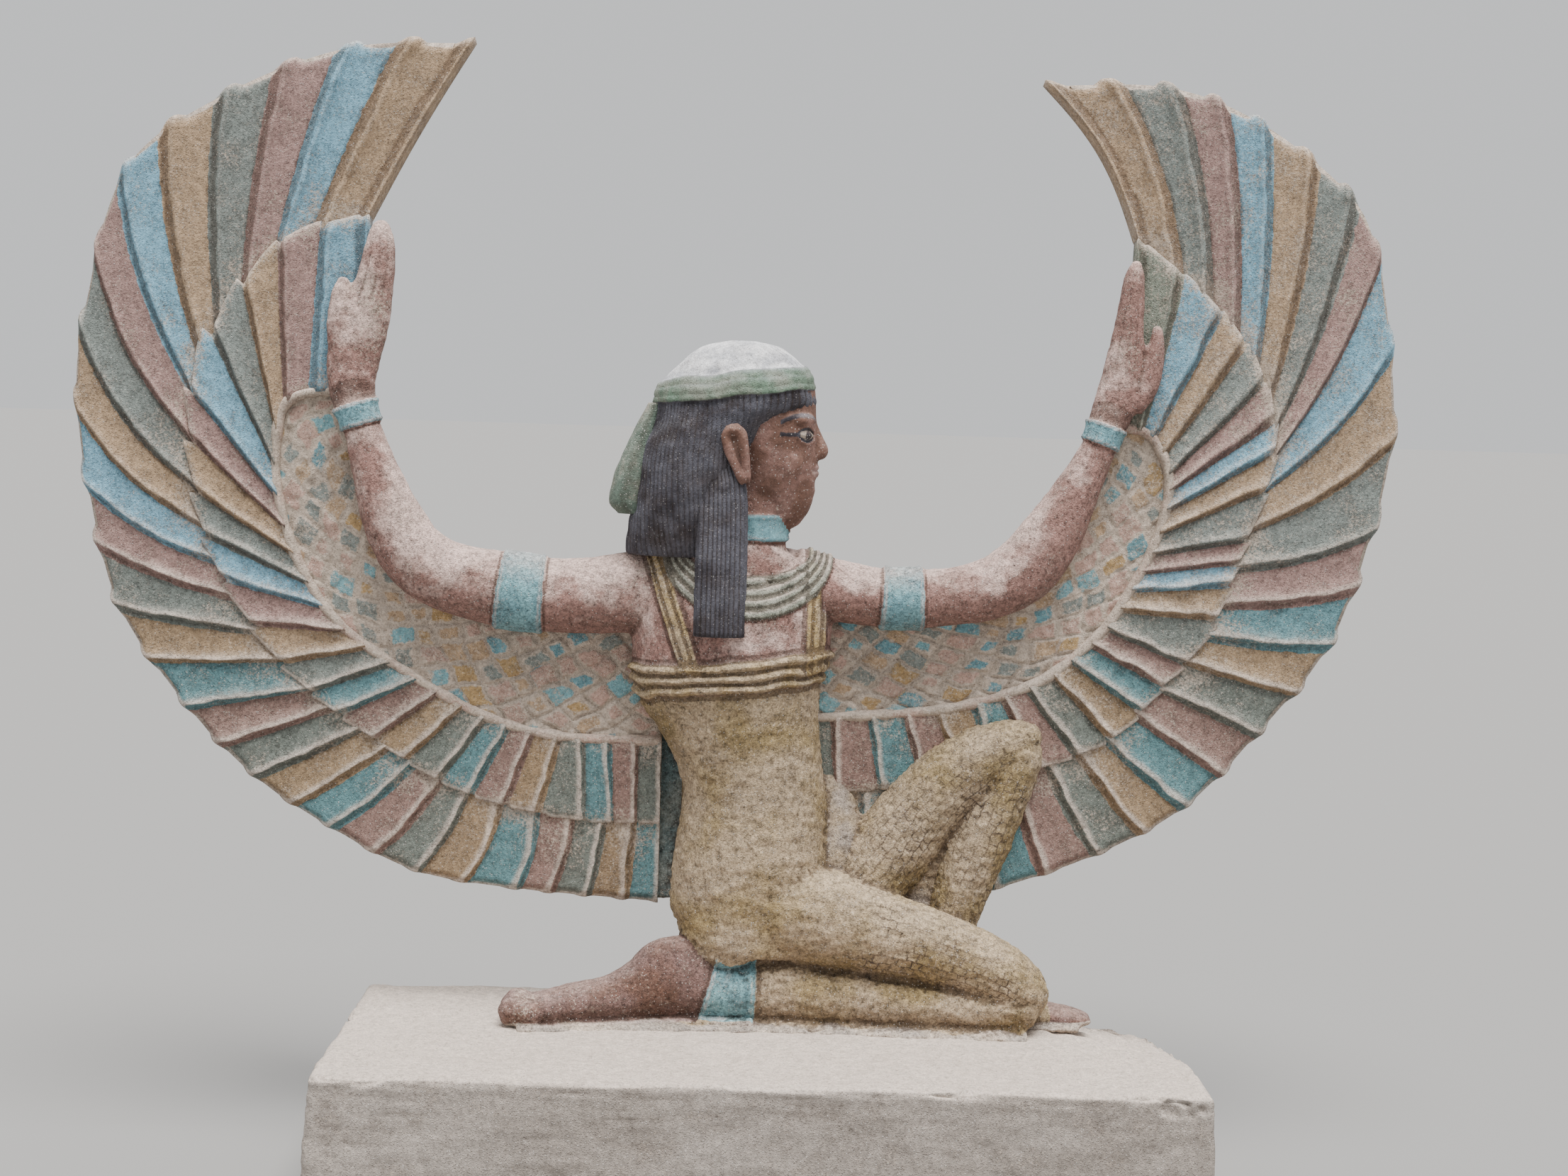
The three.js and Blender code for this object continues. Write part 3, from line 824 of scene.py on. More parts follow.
        def colour(kit: Kit, vector: object) -> object:
            """The colour of the paint at this place."""
            clouds = kit.noise(vector, ground[2], 3.0)
            seen = kit.mix(kit.step(clouds, 0.4, 0.66), ground[0], ground[1])
            if not layers:
                return seen
            edge = kit.swing(kit.noise(vector, 1.5, 3.0), 0.5)
            drift = kit.step(kit.noise(vector, 4.5, 3.0), 0.38, 0.66)
            for mark, first, second in layers:
                inside = kit.step(kit.plus(kit.reading(mark), edge), -0.12, 0.18)
                own = kit.mix(drift, first, second)
                seen = kit.mix(inside, seen, own)
            return seen

        return self.material(name, finish, colour)


def publish(mesh: Mesh, name: str, materials: Sequence[Material], place: Matrix) -> Piece:
    """Puts a finished mesh into the scene as a piece of the statue.

    Args:
        mesh: the mesh, in millimetres.
        name: the piece's name.
        materials: its materials, in the order of its faces' numbers.
        place: where it goes.

    Returns:
        The piece.
    """
    # how far each corner faces up or down; the materials use it to paint light on top faces and shade on
    # those that look down
    facing = np.empty(len(mesh.vertices) * 3)
    mesh.vertex_normals.foreach_get("vector", facing)
    upward = mesh.attributes.new("upward", "FLOAT", "POINT")
    upward.data.foreach_set("value", facing[2::3].astype(np.float32))
    mesh.transform(place)
    for material in materials:
        mesh.materials.append(material)
    mesh.shade_smooth()
    piece = bpy.data.objects.new(name, mesh)
    bpy.context.scene.collection.objects.link(piece)
    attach(piece, "root")
    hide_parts(NODE)
    LOG.info("%s: %d faces", name, len(mesh.polygons))
    return piece


@dataclass(frozen=True)
class WingLines:
    """The lines of a wing from its tip to the body, as rows of feather number, x and z.

    outline is the outer edge, middle is where the two rows meet, border is the cord and spine the
    middle of the arm. bow says how far a feather bends, meets which outer one an inner one meets, and
    steps how far each inner one's end steps back.
    """

    outline: Knots
    middle: Knots
    border: Knots
    spine: Knots
    bow: Knots
    meets: Knots
    steps: Knots


LEFT_LINES = WingLines(
    outline=(
        (0, -51.5, 183.5), (2, -74.5, 182), (4, -97.5, 173), (6, -117, 158), (8, -125, 129),
        (9, -126, 114), (10, -124.2, 98.6), (12, -118.2, 75.2), (14, -104.8, 55.8), (16, -91.6, 42.6),
        (18, -76.8, 33), (20, -60, 24.8), (22, -40.6, 21.8), (26, -13, 20),
    ),
    middle=(
        (0, -70.5, 150), (2, -86, 145.5), (4, -98, 132), (6, -104, 118), (8, -103.5, 99),
        (10, -99.5, 84.5), (12, -91.5, 71), (14, -81.5, 60), (17, -66, 49), (20, -50.5, 40.5),
        (23, -30.5, 36), (26, -13, 35.5),
    ),
    border=(
        (0, -72, 117), (2, -85, 114.5), (4, -87.5, 103), (6, -85.5, 91), (8, -81, 80.5),
        (10, -74, 71.5), (13, -60.5, 62.5), (16, -47, 55.5), (19, -33, 52), (23, -13, 51.5),
    ),
    spine=((0, -73, 118), (4, -69.5, 103), (8, -63, 88), (10, -57, 83), (13, -46, 80.5), (23, -13, 80)),
    bow=((0, 0.5), (4, 1), (8, 3), (11, 1), (14, 0), (20, 1), (26, 0)),
    meets=((0, 0), (2, 2), (5, 6), (11, 13), (19, 22), (23, 26)),
    steps=((0, 0.8), (2, 1.2), (4, 3.6), (6, 3.4), (9, 2.4), (13, 1.4), (16, 0.7), (23, 0.4)),
)
RIGHT_LINES = WingLines(
    outline=(
        (0, 56, 179), (2, 79, 179.5), (4, 97, 173.5), (6, 114.5, 161), (7, 121, 149.5),
        (8, 124.5, 132), (9, 126, 115), (10, 123.2, 96.6), (12, 115.8, 73.8), (14, 102.4, 55.8),
        (16, 88.6, 41.2), (18, 72.2, 31.6), (20, 52.4, 24.2), (22, 38, 21.6), (26, 13, 20),
    ),
    middle=(
        (0, 74.5, 150), (2, 87.2, 140.5), (4, 97.4, 129), (6, 102.4, 116), (8, 101.6, 104),
        (10, 96.5, 88.5), (12, 91.5, 75), (14, 83, 64.5), (16, 73, 54), (19, 56, 47),
        (22, 39, 44), (26, 13, 42),
    ),
    border=(
        (0, 73.5, 114), (2, 78.5, 112.5), (4, 82, 106), (6, 82, 99), (8, 79.5, 90.5),
        (10, 76, 83.5), (12, 71.5, 76), (14, 65, 69.5), (16, 57, 64), (19, 40, 59), (23, 13, 56.5),
    ),
    spine=((0, 69.5, 114), (4, 65, 104.5), (8, 59.5, 92.5), (10, 55.5, 86.5), (13, 46, 82), (23, 13, 82)),
    bow=((0, -2.5), (4, -1), (8, -2), (11, -1), (14, 0), (20, -1), (26, 0)),
    meets=((0, 0), (2, 2.5), (6, 6.7), (8, 9.2), (12, 13), (23, 26)),
    steps=((0, 0.6), (4, 1.2), (8, 1.8), (13, 1.4), (16, 0.8), (23, 0.4)),
)


@dataclass
class Wing:
    """One wing: two rows of feathers, a shoulder band of painted scales, its cord and its back."""

    name: str
    lines: WingLines
    seed: int
    outer_count: int = 26
    inner_count: int = 23
    columns: int = 14
    outer_rows: int = 36
    inner_rows: int = 24
    band_cells: tuple[int, int] = (12, 84)
    scale_grid: tuple[int, int] = (40, 60)
    back_cells: tuple[int, int] = (340, 44)
    tuck: float = 3.6
    middle: tuple[float, float] = (62.0, 96.0)
    rim_pull: float = 0.7
    crowding: float = 0.62
    crest: float = 1.05
    roll: float = 1.0
    falls: Knots = ((0, 2.5), (8, 2.1), (12, 1.3), (26, 0.9))
    inner_falls: Knots = ((0, 1.9), (6, 1.5), (12, 1.1), (23, 0.8))
    scallops: Knots = ((0, 1.3), (9, 1.2), (13, 0.8), (17, 0.35), (26, 0.2))
    groove: float = 0.28
    inner_lift: float = 1.2
    lower_feathers: tuple[float, float] = (7.0, 13.0)
    edge_round: float = 1.1
    feather_back: float = 4.2
    layer_back: float = 2.5
    plate_front: float = 0.5
    plate_back: float = 9.4
    plate_taper: float = 0.028
    plate_inset: float = 1.2
    band_rise: float = 0.4
    scale_length: float = 7.0
    scale_width: float = 5.4
    cord_radius: float = 1.0
    cord_sides: int = 14
    dusting: float = 0.0
    wing_reach: float = 125.97
    wing_top: float = 183.48
    curves: dict[str, Curve] = field(init=False)

    def __post_init__(self) -> None:
        """Reads the lines."""
        self.curves = {key: Curve(knots, numbered=True) for key, knots in vars(self.lines).items()}

    def _crowded(self, share: Array, count: int) -> Array:
        """Feather numbers for evenly spaced columns, crowded towards the crests."""
        number = share * count
        return number - self.crowding * np.sin(2.0 * math.pi * number) / (2.0 * math.pi)

    def _spot(self, number: Array, along: Array, inner: bool) -> tuple[Array, Array]:
        """Where a point of a row lies.

        Args:
            number: the feather numbers.
            along: millimetres from the row's outer end, before the scallops.
            inner: whether it is the inner row.

        Returns:
            The places as x and z, and the rows' lengths there.
        """
        if inner:
            start = self.curves["middle"](self.curves["meets"](number)[:, 0])
            end = self.curves["border"](number)
            bend = np.zeros(len(number))
        else:
            start, end = self.curves["outline"](number), self.curves["middle"](number)
            bend = self.curves["bow"](number)[:, 0]
        reach = end - start
        length = lengths(reach)
        way = reach / length[:, None]
        side = np.column_stack([way[:, 1], -way[:, 0]])
        push = bend * np.sin(math.pi * np.clip(along / length, 0.0, 1.0))
        return start + way * along[:, None] + side * push[:, None], length

    def _row(self, cast: Cast, inner: bool) -> None:
        """Makes a row of feathers, each with a crest along its lower edge, a groove beyond it and a hollow.

        Args:
            cast: the mesh that they join.
            inner: whether it is the inner row.
        """
        count = self.inner_count if inner else self.outer_count
        lift = self.inner_lift if inner else 0.0
        columns = count * self.columns
        verts = cast.grid(columns, self.inner_rows if inner else self.outer_rows)
        falls = Curve(self.inner_falls if inner else self.falls, numbered=True)
        scallops = Curve(self.scallops, numbered=True)

        def where(corners: Array) -> tuple[Array, dict]:
            """The places of these corners of the sheet, and their marks."""
            number = self._crowded(corners[:, 0] + 0.5, count)
            share = (corners[:, 1] + 0.5) ** 1.15
            part = number - np.floor(number + 1e-6)
            _, length = self._spot(number, np.zeros(len(number)), inner)
            if inner:
                phase = (number - 0.16) % 1.0
                jump = smooth_step(0.0, 0.15, phase)
                start = self.curves["steps"](number)[:, 0] * (0.5 - jump + phase)
                end = length
            else:
                nub = np.minimum(part, 1.0 - part) * 12.0
                start = scallops(number)[:, 0] * smooth_step(0.9, 3.6, nub)
                end = length + self.tuck
            along = start + (end - start) * share
            here, _ = self._spot(number, along, inner)
            here = np.clip(here, [-self.wing_reach, 0.0], [self.wing_reach, self.wing_top])
            nudge = 0.02
            after, _ = self._spot(np.minimum(number + nudge, count), along, inner)
            before, _ = self._spot(np.maximum(number - nudge, 0.0), along, inner)
            span = np.minimum(number + nudge, count) - np.maximum(number - nudge, 0.0)
            width = lengths(after - before) / span
            flat = upright(here)
            waver = 0.22 * ripple(flat, 11.0, self.seed) + 0.12 * ripple(flat, 4.0, self.seed + 1)
            past = part * width + waver
            ahead = (1.0 - part) * width - waver
            scale = np.clip(width / 6.0, 0.45, 1.0)
            tall = self.crest * np.clip(width / 5.0, 0.4, 1.0)
            tall *= 1.0 + 0.18 * ripple(flat, 7.0, self.seed + 2)
            drop = falls(number)[:, 0] * scale
            behind = 1.0 - smooth_step(0.0, 1.0, past / drop)
            lower = smooth_step(*self.lower_feathers, number)
            roll = 0.6 * hump(ahead, self.roll * scale * (1.0 + 0.5 * lower))
            roll = roll + 0.4 * (1.0 - smooth_step(0.0, 0.6 * width, ahead))
            rise = np.where(ahead < width / 2, roll, behind)
            flank = smooth_step(0.1, 0.35, past / drop) * (1.0 - smooth_step(0.85, 1.1, past / drop))
            tall = tall * (1.0 - 0.4 * smooth_step(13.0, 20.0, number))
            deep = hump(past - drop - 0.25 * scale, 0.5 * scale)
            level = tall * rise - self.groove * deep
            inside = along - start
            worn = 0.5 * hump(inside, 0.9 if inner else 0.7)
            if inner:
                meeting = hump(inside, 2.2) + 0.8 * hump(end - along, 4.0)
            else:
                meeting = hump(end - self.tuck - along, 5.0)
            low = self.edge_round * (1.0 - smooth_step(0.0, 1.6, inside)) * (0.45 if inner else 1.0)
            rough = 0.05 * ripple(flat, 5.0, self.seed + 3) + 0.035 * ripple(flat, 1.7, self.seed + 4)
            y = -lift - level + low - rough
            if not inner:
                y = y + 0.5 * smooth_step(0.0, self.tuck, along - length)
            # relief: crests paler, worn paint with a painted highlight; the groove past each crest and the
            # flank dropping to it darker, painted shade; the rows' ends worn paler
            marks = {
                "feather": number - drop / width,
                "relief": (0.5 + 0.45 * lower) * np.clip(rise - 0.5, 0.0, 1.0) * (1.0 - flank) + worn
                - (1.3 - 0.5 * lower) * self.groove * deep - (0.34 - 0.16 * lower) * flank,
                "bare": 0.4 * meeting + self.dusting * (1.0 - smooth_step(6.0, 12.0, number)),
            }
            return upright(here, y), marks

        cast.place(verts, where)
        centre = np.array([math.copysign(self.middle[0], self.lines.outline[0][1]), self.middle[1]])

        def back(rim: Array) -> Array:
            """The places of the lid's rim behind this rim, drawn in a little."""
            inward = centre - rim[:, [0, 2]]
            inward /= lengths(inward)[:, None]
            spot = rim.copy()
            spot[:, [0, 2]] += self.rim_pull * inward
            spot[:, 1] = self.layer_back if inner else self.feather_back
            return spot

        cast.wall(verts, back)

    def _band(self, cast: Cast) -> None:
        """Makes the shoulder band, with scales in rows along it.

        Args:
            cast: the mesh that it joins.
        """
        verts = cast.grid(self.inner_count * self.band_cells[0], self.band_cells[1])
        draw = np.random.default_rng(SEED + self.seed)

        def where(corners: Array) -> tuple[Array, dict]:
            """The places of these corners of the sheet, and their marks."""
            number = (corners[:, 0] + 0.5) * self.inner_count
            share = corners[:, 1] + 0.5
            low, high = self.curves["border"](number), self.curves["spine"](number)
            reach = high - low
            wide = lengths(reach)
            spot = low + reach * share[:, None]
            flat = upright(spot)
            line = np.linspace(0.0, self.inner_count, 300)
            middle = 0.6 * self.curves["border"](line) + 0.4 * self.curves["spine"](line)
            lengthwise = np.interp(number, line, paced(middle)) + 0.5 * ripple(flat, 9.0, self.seed + 5)
            across = share * wide + 0.4 * ripple(flat, 8.0, self.seed + 6)
            tier = across / (0.5 * self.scale_width)
            best = np.full(len(spot), 1e9)
            second = best.copy()
            pick = np.zeros(len(spot))
            fat = np.zeros(len(spot))
            tiers, cells = self.scale_grid
            seeds = draw.uniform(0.0, 1.0, (tiers, cells, 4))
            for step_row in (-1, 0, 1, 2):
                row = np.floor(tier).astype(int) + step_row
                shift = 0.5 * self.scale_length * (row % 2)
                for step_cell in (0, 1):
                    cell = np.floor((lengthwise - shift) / self.scale_length).astype(int) + step_cell
                    seed = seeds[row % tiers, cell % cells]
                    x = cell * self.scale_length + shift + 1.1 * (seed[:, 0] - 0.5)
                    z = row * 0.5 * self.scale_width + 0.8 * (seed[:, 1] - 0.5)
                    away = np.abs(lengthwise - x) / (0.5 * self.scale_length)
                    away = away + np.abs(across - z) / (0.5 * self.scale_width)
                    closer = away < best
                    second = np.where(closer, best, np.minimum(second, away))
                    best = np.where(closer, away, best)
                    pick = np.where(closer, seed[:, 2], pick)
                    fat = np.where(closer, seed[:, 3], fat)
            gap = second - best
            dome = smooth_step(0.0, 0.5, gap)
            near_body = smooth_step(9.0, 17.0, number)
            level = (0.2 + 0.3 * near_body) * dome - 0.08 * near_body * (1.0 - smooth_step(0.0, 0.25, gap))
            level = level + 0.16 * ripple(flat, 3.0, self.seed + 7) + 0.05 * ripple(flat, 1.4, self.seed + 8)
            # relief: the gaps between the scales darker, painted shade, and their domes a little paler
            marks = {
                "pick": pick,
                "spot": (0.5 + 0.4 * fat - best) * 2.6,
                "relief": 0.5 * level - 0.05,
            }
            y = -self.band_rise - level + 0.3
            return upright(spot, y), marks

        cast.place(verts, where)
        cast.wall(verts, lambda rim: upright(rim[:, [0, 2]], self.layer_back))

    def _cord(self, cast: Cast) -> None:
        """Makes the cord along the border of the band.

        Args:
            cast: the mesh that it joins.
        """
        number = np.linspace(0.0, self.inner_count, 100)
        line = self.curves["border"](number)
        flat = upright(line)
        size = self.cord_radius * (1.0 + 0.12 * ripple(flat, 5.0, self.seed + 9))
        knots = np.column_stack([line[:, 0], np.full(len(line), -0.5), line[:, 1], size, size * 1.3])
        limb(cast, knots, self.cord_sides, 3)

    def _back(self, cast: Cast) -> None:
        """Makes the wing's back: a plate that thins towards the tip, with the feathers cut in lightly.

        Args:
            cast: the mesh that it joins.
        """
        verts = cast.grid(*self.back_cells)

        def where(corners: Array) -> tuple[Array, dict]:
            """The places of these corners of the sheet, and their marks."""
            number = np.maximum((corners[:, 0] + 0.5) * self.inner_count, 0.3)
            share = (corners[:, 1] + 0.5) * 4.0
            outer = self.curves["meets"](number)[:, 0]
            edge, fold = self.curves["outline"](outer), self.curves["middle"](outer)
            reach = fold - edge
            length = lengths(reach)
            way = reach / length[:, None]
            start = edge + way * self.plate_inset
            side = np.column_stack([way[:, 1], -way[:, 0]])
            halfway = (start + fold) / 2.0 + side * self.curves["bow"](outer)
            border, spine = self.curves["border"](number), self.curves["spine"](number)
            stops = np.stack([start, halfway, fold, border, spine])
            step = np.minimum(share.astype(int), 3)
            rows = np.arange(len(number))
            first, last = stops[step, rows], stops[step + 1, rows]
            spot = first + (last - first) * (share - step)[:, None]
            flat = upright(spot)
            own = np.where(share < 2.0, outer, number)
            wide = np.where(share < 2.0, 9.0, 6.0)
            off = off_whole(own) * wide + 0.2 * ripple(flat, 9.0, self.seed + 10)
            cut = 0.55 * hump(off, 0.75) * (share < 3.0)
            cut = cut + 0.5 * hump((share - 2.0) * 12.0, 0.9) + 0.6 * hump((share - 3.0) * 12.0, 0.9)
            swell = 0.14 * ripple(flat, 14.0, self.seed + 11) + 0.06 * ripple(flat, 3.0, self.seed + 12)
            inside = share * length / 4.0
            y = self.plate_back - self.plate_taper * np.abs(spot[:, 0]) - 0.35 - cut + swell
            y = y - 2.6 * (1.0 - smooth_step(0.0, 2.6, inside)) ** 2
            # relief: the cut feather lines darker, painted shade
            return upright(spot, y), {"relief": 0.25 * swell - cut, "feather": own}

        cast.place(verts, where)
        cast.wall(verts, lambda rim: upright(rim[:, [0, 2]], self.plate_front))

    def build(self, place: Matrix, materials: Sequence[Material]) -> Piece:
        """Makes the wing.

        Args:
            place: where the figure stands.
            materials: those of the outer row, inner row, band, cord and back.

        Returns:
            The wing.
        """
        cast = Cast("feather", "relief", "pick", "spot", "bare")
        parts = (
            lambda: self._row(cast, inner=False), lambda: self._row(cast, inner=True),
            lambda: self._band(cast), lambda: self._cord(cast), lambda: self._back(cast),
        )
        for number, part in enumerate(parts):
            done = len(cast.bm.faces)
            part()
            cast.bm.faces.ensure_lookup_table()
            for face in cast.bm.faces[done:]:
                face.material_index = number
        return publish(cast.mesh(self.name), self.name, materials, place)


TORSO = (
    (3, -6, 10.5, 3, 4), (2.4, -5, 13, 10.4, 10.5), (3.6, -4, 18.5, 14.2, 12), (4.5, -4, 29.4, 14.6, 12.5),
    (4.8, -4, 36, 14, 12), (4.9, -4, 41, 13.6, 11.5), (4.4, -4, 46.6, 13.4, 11.5),
    (3, -4, 53, 14.2, 12), (1.2, -4, 60, 16.2, 13), (-0.2, -4, 66, 18.4, 13.8),
    (-0.2, -4, 76, 19, 13.5), (0, -4, 82, 18.6, 12), (0.8, -4.5, 85.6, 16, 9.8), (3, -5, 88, 12, 8.4),
    (4.2, -5.6, 91, 7.2, 6.8),
)
LEFT_ARM = (
    (-12, -4, 80.5, 8, 8), (-18, -4, 80.4, 7.8, 7.5), (-27, -4, 79.3, 7.2, 6.8), (-36, -4, 79.3, 7, 6.6),
    (-44.5, -4, 80.2, 7.1, 6.4), (-51, -4, 81.4, 6.8, 6.2), (-56, -4, 83, 6.6, 6),
    (-60.8, -4, 86.5, 6.4, 6), (-64.8, -4, 93, 5.7, 5.6), (-68, -4, 101.5, 4.4, 4.8),
    (-70.4, -4, 108.8, 3.6, 4), (-72.3, -3.6, 114.5, 3.6, 3.8),
)
RIGHT_ARM = (
    (12, -4, 82, 7.5, 8), (19, -4, 81.6, 6, 6.8), (27.5, -4, 80.5, 5.6, 6.2), (35, -4, 80.5, 5.6, 6),
    (42, -4, 81.2, 5.5, 6), (49, -4, 83, 5.9, 6), (55, -4, 86.8, 6.3, 6), (59.3, -4, 92.5, 5.9, 5.6),
    (62.4, -4, 98, 5, 5.2), (65.6, -4, 104.5, 3.9, 4.6), (68.1, -4, 110, 3.3, 4),
    (69.6, -3.6, 114.5, 3.4, 3.8),
)
LEFT_HAND = (
    (-72, -3.6, 112.5, 3.8, 3.6), (-73, -3.2, 119, 4.6, 3.4), (-72.3, -3, 125, 5.2, 3.2),
    (-70.6, -3, 131, 4.8, 3), (-69, -3, 137, 3.7, 2.8), (-68.2, -3, 143, 3, 2.6), (-68, -3, 147, 2, 2),
    (-68, -3, 148.6, 0.9, 1),
)
LEFT_THUMB = (
    (-74.5, -3, 121, 2.4, 2.6), (-75.6, -3.4, 128, 2.2, 2.6), (-75.2, -3.6, 134, 1.9, 2.2),
    (-74.6, -3.6, 137.8, 0.9, 1),
)
RIGHT_HAND = (
    (69, -3.6, 112.5, 3.3, 3.6), (70.6, -3.2, 117, 4, 3.4), (71.8, -3, 121.5, 4, 3.2),
    (72.6, -3, 127, 3.5, 3), (73.2, -3, 134, 2.7, 2.8), (73.8, -3, 141.5, 2, 2.4), (74.2, -3, 145.6, 0.9, 1),
)
RIGHT_THUMB = (
    (74.4, -3, 117.5, 2, 2.6), (76.9, -3.4, 121.5, 2.1, 2.6), (78.2, -3.6, 127, 1.8, 2.2),
    (78.5, -3.6, 133.4, 0.9, 1),
)
NEAR_THIGH = (
    (2, -5, 22, 8, 10), (9, -6.5, 21.6, 9.6, 9.6), (18.5, -8, 19.7, 9.2, 8.8), (28, -9, 17.6, 8, 8),
    (38, -10, 15.4, 7, 7.4), (47.5, -11, 12.6, 6.2, 7), (54, -11.5, 9.4, 5.6, 6.6),
    (58.6, -11.5, 6.4, 3.9, 5), (60.8, -11.5, 5, 1.6, 2.4),
)
NEAR_SHIN = (
    (59.5, -11.5, 4.6, 2, 3.5), (56, -11.5, 4.4, 4.6, 5.8), (43, -11, 4.2, 4.4, 6.2),
    (29, -10, 4.6, 5, 6.2), (12, -9, 5.2, 5.9, 6), (0, -9, 5.8, 5.7, 5.6), (-9, -9.5, 7.8, 8, 5.8),
    (-15.5, -10, 5.6, 5.8, 5.8), (-21.5, -11, 4, 4.2, 5.8), (-29, -12.5, 3.2, 3.4, 5.8),
    (-35, -13.8, 2.6, 2.6, 5.8), (-39.2, -14.5, 2.7, 2.5, 5.6), (-41.4, -14.8, 2.5, 1, 3.4),
)
FAR_THIGH = (
    (16, -2, 17, 8, 7.5), (24, -1.5, 23, 8.6, 7.5), (30.5, -1.5, 31, 8.2, 7.2), (38, -1.5, 41, 7.5, 6.8),
    (44.5, -1.5, 47.4, 6.9, 6.6), (51.5, -1.5, 51.8, 5.8, 6.2), (57, -1.5, 54.4, 3.6, 4.6),
    (59.3, -1.5, 55.4, 1.4, 2),
)
FAR_SHIN = (
    (57.6, -1.5, 55, 1.8, 3), (56, -1.5, 51, 4.1, 5.6), (53, -1.5, 44.5, 5.2, 6),
    (49, -1.5, 35.5, 6, 6.2), (45.5, -1.5, 26, 5.7, 6), (42.5, -1.5, 15, 4.9, 5.4), (41, -2, 7, 4.6, 5),
    (41, -2, 0.5, 4.8, 4.6),
)
FAR_FOOT = (
    (36.5, -2, 2, 2.2, 4), (42, -2.4, 3, 3.4, 5), (52, -3, 2.6, 3, 5.2), (61, -3.6, 1.6, 2, 5.4),
    (68, -4, 0.8, 1.4, 5), (70.5, -4.2, 0.4, 0.7, 3),
)
BACK_SWELL = (
    (0, 3, 16, 10, 7), (1, 3, 30, 11, 8), (2, 3, 45, 10, 8), (1, 3, 60, 12, 8.5), (0, 3, 76, 14, 8.5),
    (1, 2, 88, 9, 7),
)
HIP_WEB = (
    (20.5, -1, 22, 7, 8), (20.4, -1, 28, 7, 7), (20, -0.5, 35, 6.4, 5.8), (18.8, 0.5, 42, 5, 3.8),
    (18, 1, 47, 3, 1.8),
)
KNEE_WEB = ((36.5, 0, 18, 4, 3.6), (37, 0, 23, 5, 4), (38.5, 0, 28, 4, 3.6), (42, 0, 34, 2, 3))
STONE_WEBS = (
    ((57, -12, -0.4, 1.5, 7.4), (40, -11.5, -0.4, 1.6, 7.8), (0, -9.8, -0.4, 1.6, 7.6),
     (-30, -13, -0.5, 1.5, 7.4), (-38, -14.4, -0.5, 1.4, 7)),
    ((38, -2, -0.4, 1.4, 6), (55, -3.4, -0.4, 1.4, 6.4), (68, -4.2, -0.4, 1.2, 6)),
)
TOES = (
    ((-38.2, -14.2, 3.3), (3.0, 4.6, 2.7)), ((-35.4, -18.4, 1.7), (1.9, 1.9, 1.5)),
    ((-38.8, -17.6, 1.6), (2.2, 2.0, 1.6)), ((-38.6, -10.6, 2.2), (2.4, 1.8, 1.8)),
)


def centred(*rows: Sequence[float]) -> Rows:
    """Sections across the middle of the head, from rows without their y."""
    return tuple((x, HEAD_Y, *rest) for x, *rest in rows)


WIG = centred(
    (0.4, 128, 2.6, 2), (0.4, 126.8, 7.4, 6.4), (0.4, 123.6, 11.6, 10),
    (-0.5, 119.6, 14.2, 12.2), (-0.8, 116, 14.8, 12.8), (-3.8, 112.6, 12.2, 13),
    (-7, 107, 11.2, 13.2), (-8.4, 100, 10.6, 13), (-9, 94, 11, 11.6),
    (-9.4, 88.4, 11.1, 9.7), (-9.4, 87.6, 9.6, 8.6),
)
FACE = centred(
    (5.6, 98, 5.4, 3.8), (7.1, 99.1, 7.2, 6.2), (6.3, 103.4, 8.7, 8.1),
    (5.6, 108.6, 9.3, 9.2), (5.4, 113.2, 9.2, 9.6), (5, 119, 9.2, 9),
)
NOSE = centred(
    (13.6, 113.8, 0.8, 1.2), (14.4, 110.6, 1.3, 1.5), (15.1, 108, 1.9, 2.2),
    (14.6, 106.7, 1.3, 2.1),
)
LIPS = centred((13.5, 105.6, 1, 2), (14, 104.2, 1.5, 3), (13.5, 102.9, 1, 1.9))
EAR = centred(
    (1.6, 101.6, 0.7, 1), (1.2, 102.8, 1.3, 1.6), (0.5, 105.4, 1.8, 2.2),
    (-0.4, 108.4, 2.4, 2.5), (-1, 110.8, 2.4, 2.4), (-1.3, 112.6, 1.1, 1.6),
)
NECK = centred(
    (3.9, 84, 6.6, 7), (3.8, 90, 5.7, 6.2), (3.7, 99, 5.7, 6.4),
    (3.4, 107, 6.6, 7),
)
RIBBON = centred(
    (-15.4, 116, 1.4, 4), (-17.4, 110, 2.4, 5), (-19.4, 103, 3.3, 6),
    (-20.4, 97.6, 3.3, 6), (-19.4, 95.2, 2.6, 5),
)
LAPPET = (
    (-3.8, -12.5, 112, 3, 3), (-3.4, -13.6, 106, 3.6, 3.2), (-2.6, -15.2, 98, 4.6, 3.8),
    (-2.5, -16, 73.4, 4.8, 4.4),
)
CHOKER_SPAN = (1.1, 1.65)
NECK_REACH = 1.12
FAR = 1e3


@dataclass(frozen=True)
class Along:
    """Where points lie along a limb: far points keep a reach of FAR."""

    number: Array
    side: Array
    deep: Array
    reach: Array
    length: Array
    pace: float


